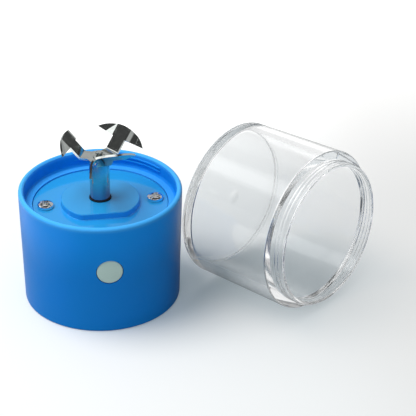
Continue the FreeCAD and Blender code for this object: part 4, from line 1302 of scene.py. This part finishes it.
def soft_light(name, place, aim, size, power):
    """A round soft lamp that metal and clear plastic don't mirror."""
    lamp = bpy.data.lights.new(name, "AREA")
    lamp.shape = "DISK"
    lamp.size = size
    lamp.energy = power
    light = bpy.data.objects.new(name, lamp)
    light.location = place
    light.rotation_euler = (Vector(aim) - Vector(place)).to_track_quat("-Z", "Y").to_euler()
    light.visible_glossy = False
    light.visible_transmission = False
    bpy.context.scene.collection.objects.link(light)


def stage_camera(s):
    camera = bpy.data.objects.new("camera", bpy.data.cameras.new("camera"))
    camera.data.sensor_width = 36.0
    camera.data.lens = s.lens
    camera.data.clip_start = 0.01
    camera.data.clip_end = 50.0
    camera.location = s.camera_place
    camera.rotation_euler = (s.camera_tilt, 0, s.camera_turn)
    bpy.context.scene.collection.objects.link(camera)
    bpy.context.scene.camera = camera


def stage():
    s = bpy.context.scene.grinder_stage
    stage_floor(s)
    stage_world(s)
    soft_light("key", s.key_place, s.key_aim, s.key_size, s.key_power)
    stage_camera(s)
    bpy.context.scene.view_settings.view_transform = "Standard"
    paths = bpy.context.scene.cycles
    paths.max_bounces = 32
    paths.glossy_bounces = 32
    paths.transmission_bounces = 32
    paths.caustics_refractive = False
    paths.caustics_reflective = False


# Add-on

class GRINDER_OT_base(bpy.types.Operator):
    """Make the base's shell, the ridges inside its rim and its deck"""

    bl_idname = "grinder.base"
    bl_label = "Base mouldings"

    def execute(self, context):
        base_shell()
        rim_ridges()
        deck_plate()
        return {"FINISHED"}


class GRINDER_OT_screws(bpy.types.Operator):
    """Make the deck's, the cover's and the cutter's screws"""

    bl_idname = "grinder.screws"
    bl_label = "Screws"

    def execute(self, context):
        deck_screws()
        cover_screws()
        blade_screw()
        return {"FINISHED"}


class GRINDER_OT_cutter(bpy.types.Operator):
    """Make the spindle, its seal and the cutter"""

    bl_idname = "grinder.cutter"
    bl_label = "Spindle and cutter"

    def execute(self, context):
        spindle()
        shaft_seal()
        cutter()
        return {"FINISHED"}


class GRINDER_OT_button(bpy.types.Operator):
    """Make the push button"""

    bl_idname = "grinder.button"
    bl_label = "Push button"

    def execute(self, context):
        push_button()
        return {"FINISHED"}


class GRINDER_OT_cup(bpy.types.Operator):
    """Make the clear grinding cup"""

    bl_idname = "grinder.cup"
    bl_label = "Grinding cup"

    def execute(self, context):
        grinding_cup()
        cup_rib()
        return {"FINISHED"}


class GRINDER_OT_inner(bpy.types.Operator):
    """Give the pieces of the frame their finishes"""

    bl_idname = "grinder.inner"
    bl_label = "Inner pieces"

    def execute(self, context):
        frame_finishes()
        return {"FINISHED"}


class GRINDER_OT_stage(bpy.types.Operator):
    """Make the table, the light and the camera"""

    bl_idname = "grinder.stage"
    bl_label = "Stage"

    def execute(self, context):
        stage()
        return {"FINISHED"}


OPERATORS = (
    GRINDER_OT_inner,
    GRINDER_OT_base,
    GRINDER_OT_screws,
    GRINDER_OT_cutter,
    GRINDER_OT_button,
    GRINDER_OT_cup,
    GRINDER_OT_stage,
)

SETTINGS = {
    "grinder_base": BaseSizes,
    "grinder_cutter": CutterSizes,
    "grinder_screws": ScrewSizes,
    "grinder_button": ButtonSizes,
    "grinder_cup": CupSizes,
    "grinder_stage": StageSettings,
}


class GRINDER_PT_panel(bpy.types.Panel):
    """Lists the pieces and their sizes in the sidebar"""

    bl_idname = "GRINDER_PT_panel"
    bl_label = "Portable herb grinder"
    bl_space_type = "VIEW_3D"
    bl_region_type = "UI"
    bl_category = "Grinder"

    def draw(self, context):
        for operator in OPERATORS:
            self.layout.operator(operator.bl_idname)
        for name, group in SETTINGS.items():
            box = self.layout.box()
            box.label(text=group.__doc__)
            for label in group.__annotations__:
                box.prop(getattr(context.scene, name), label)


def register():
    for group in SETTINGS.values():
        bpy.utils.register_class(group)
    for name, group in SETTINGS.items():
        setattr(bpy.types.Scene, name, PointerProperty(type=group))
    for operator in OPERATORS:
        bpy.utils.register_class(operator)
    bpy.utils.register_class(GRINDER_PT_panel)


def unregister():
    bpy.utils.unregister_class(GRINDER_PT_panel)
    for operator in reversed(OPERATORS):
        bpy.utils.unregister_class(operator)
    for name, group in SETTINGS.items():
        delattr(bpy.types.Scene, name)
        bpy.utils.unregister_class(group)


def main():
    register()
    for operator in OPERATORS:
        space, name = operator.bl_idname.split(".")
        getattr(getattr(bpy.ops, space), name)()


if __name__ == "__main__":
    main()
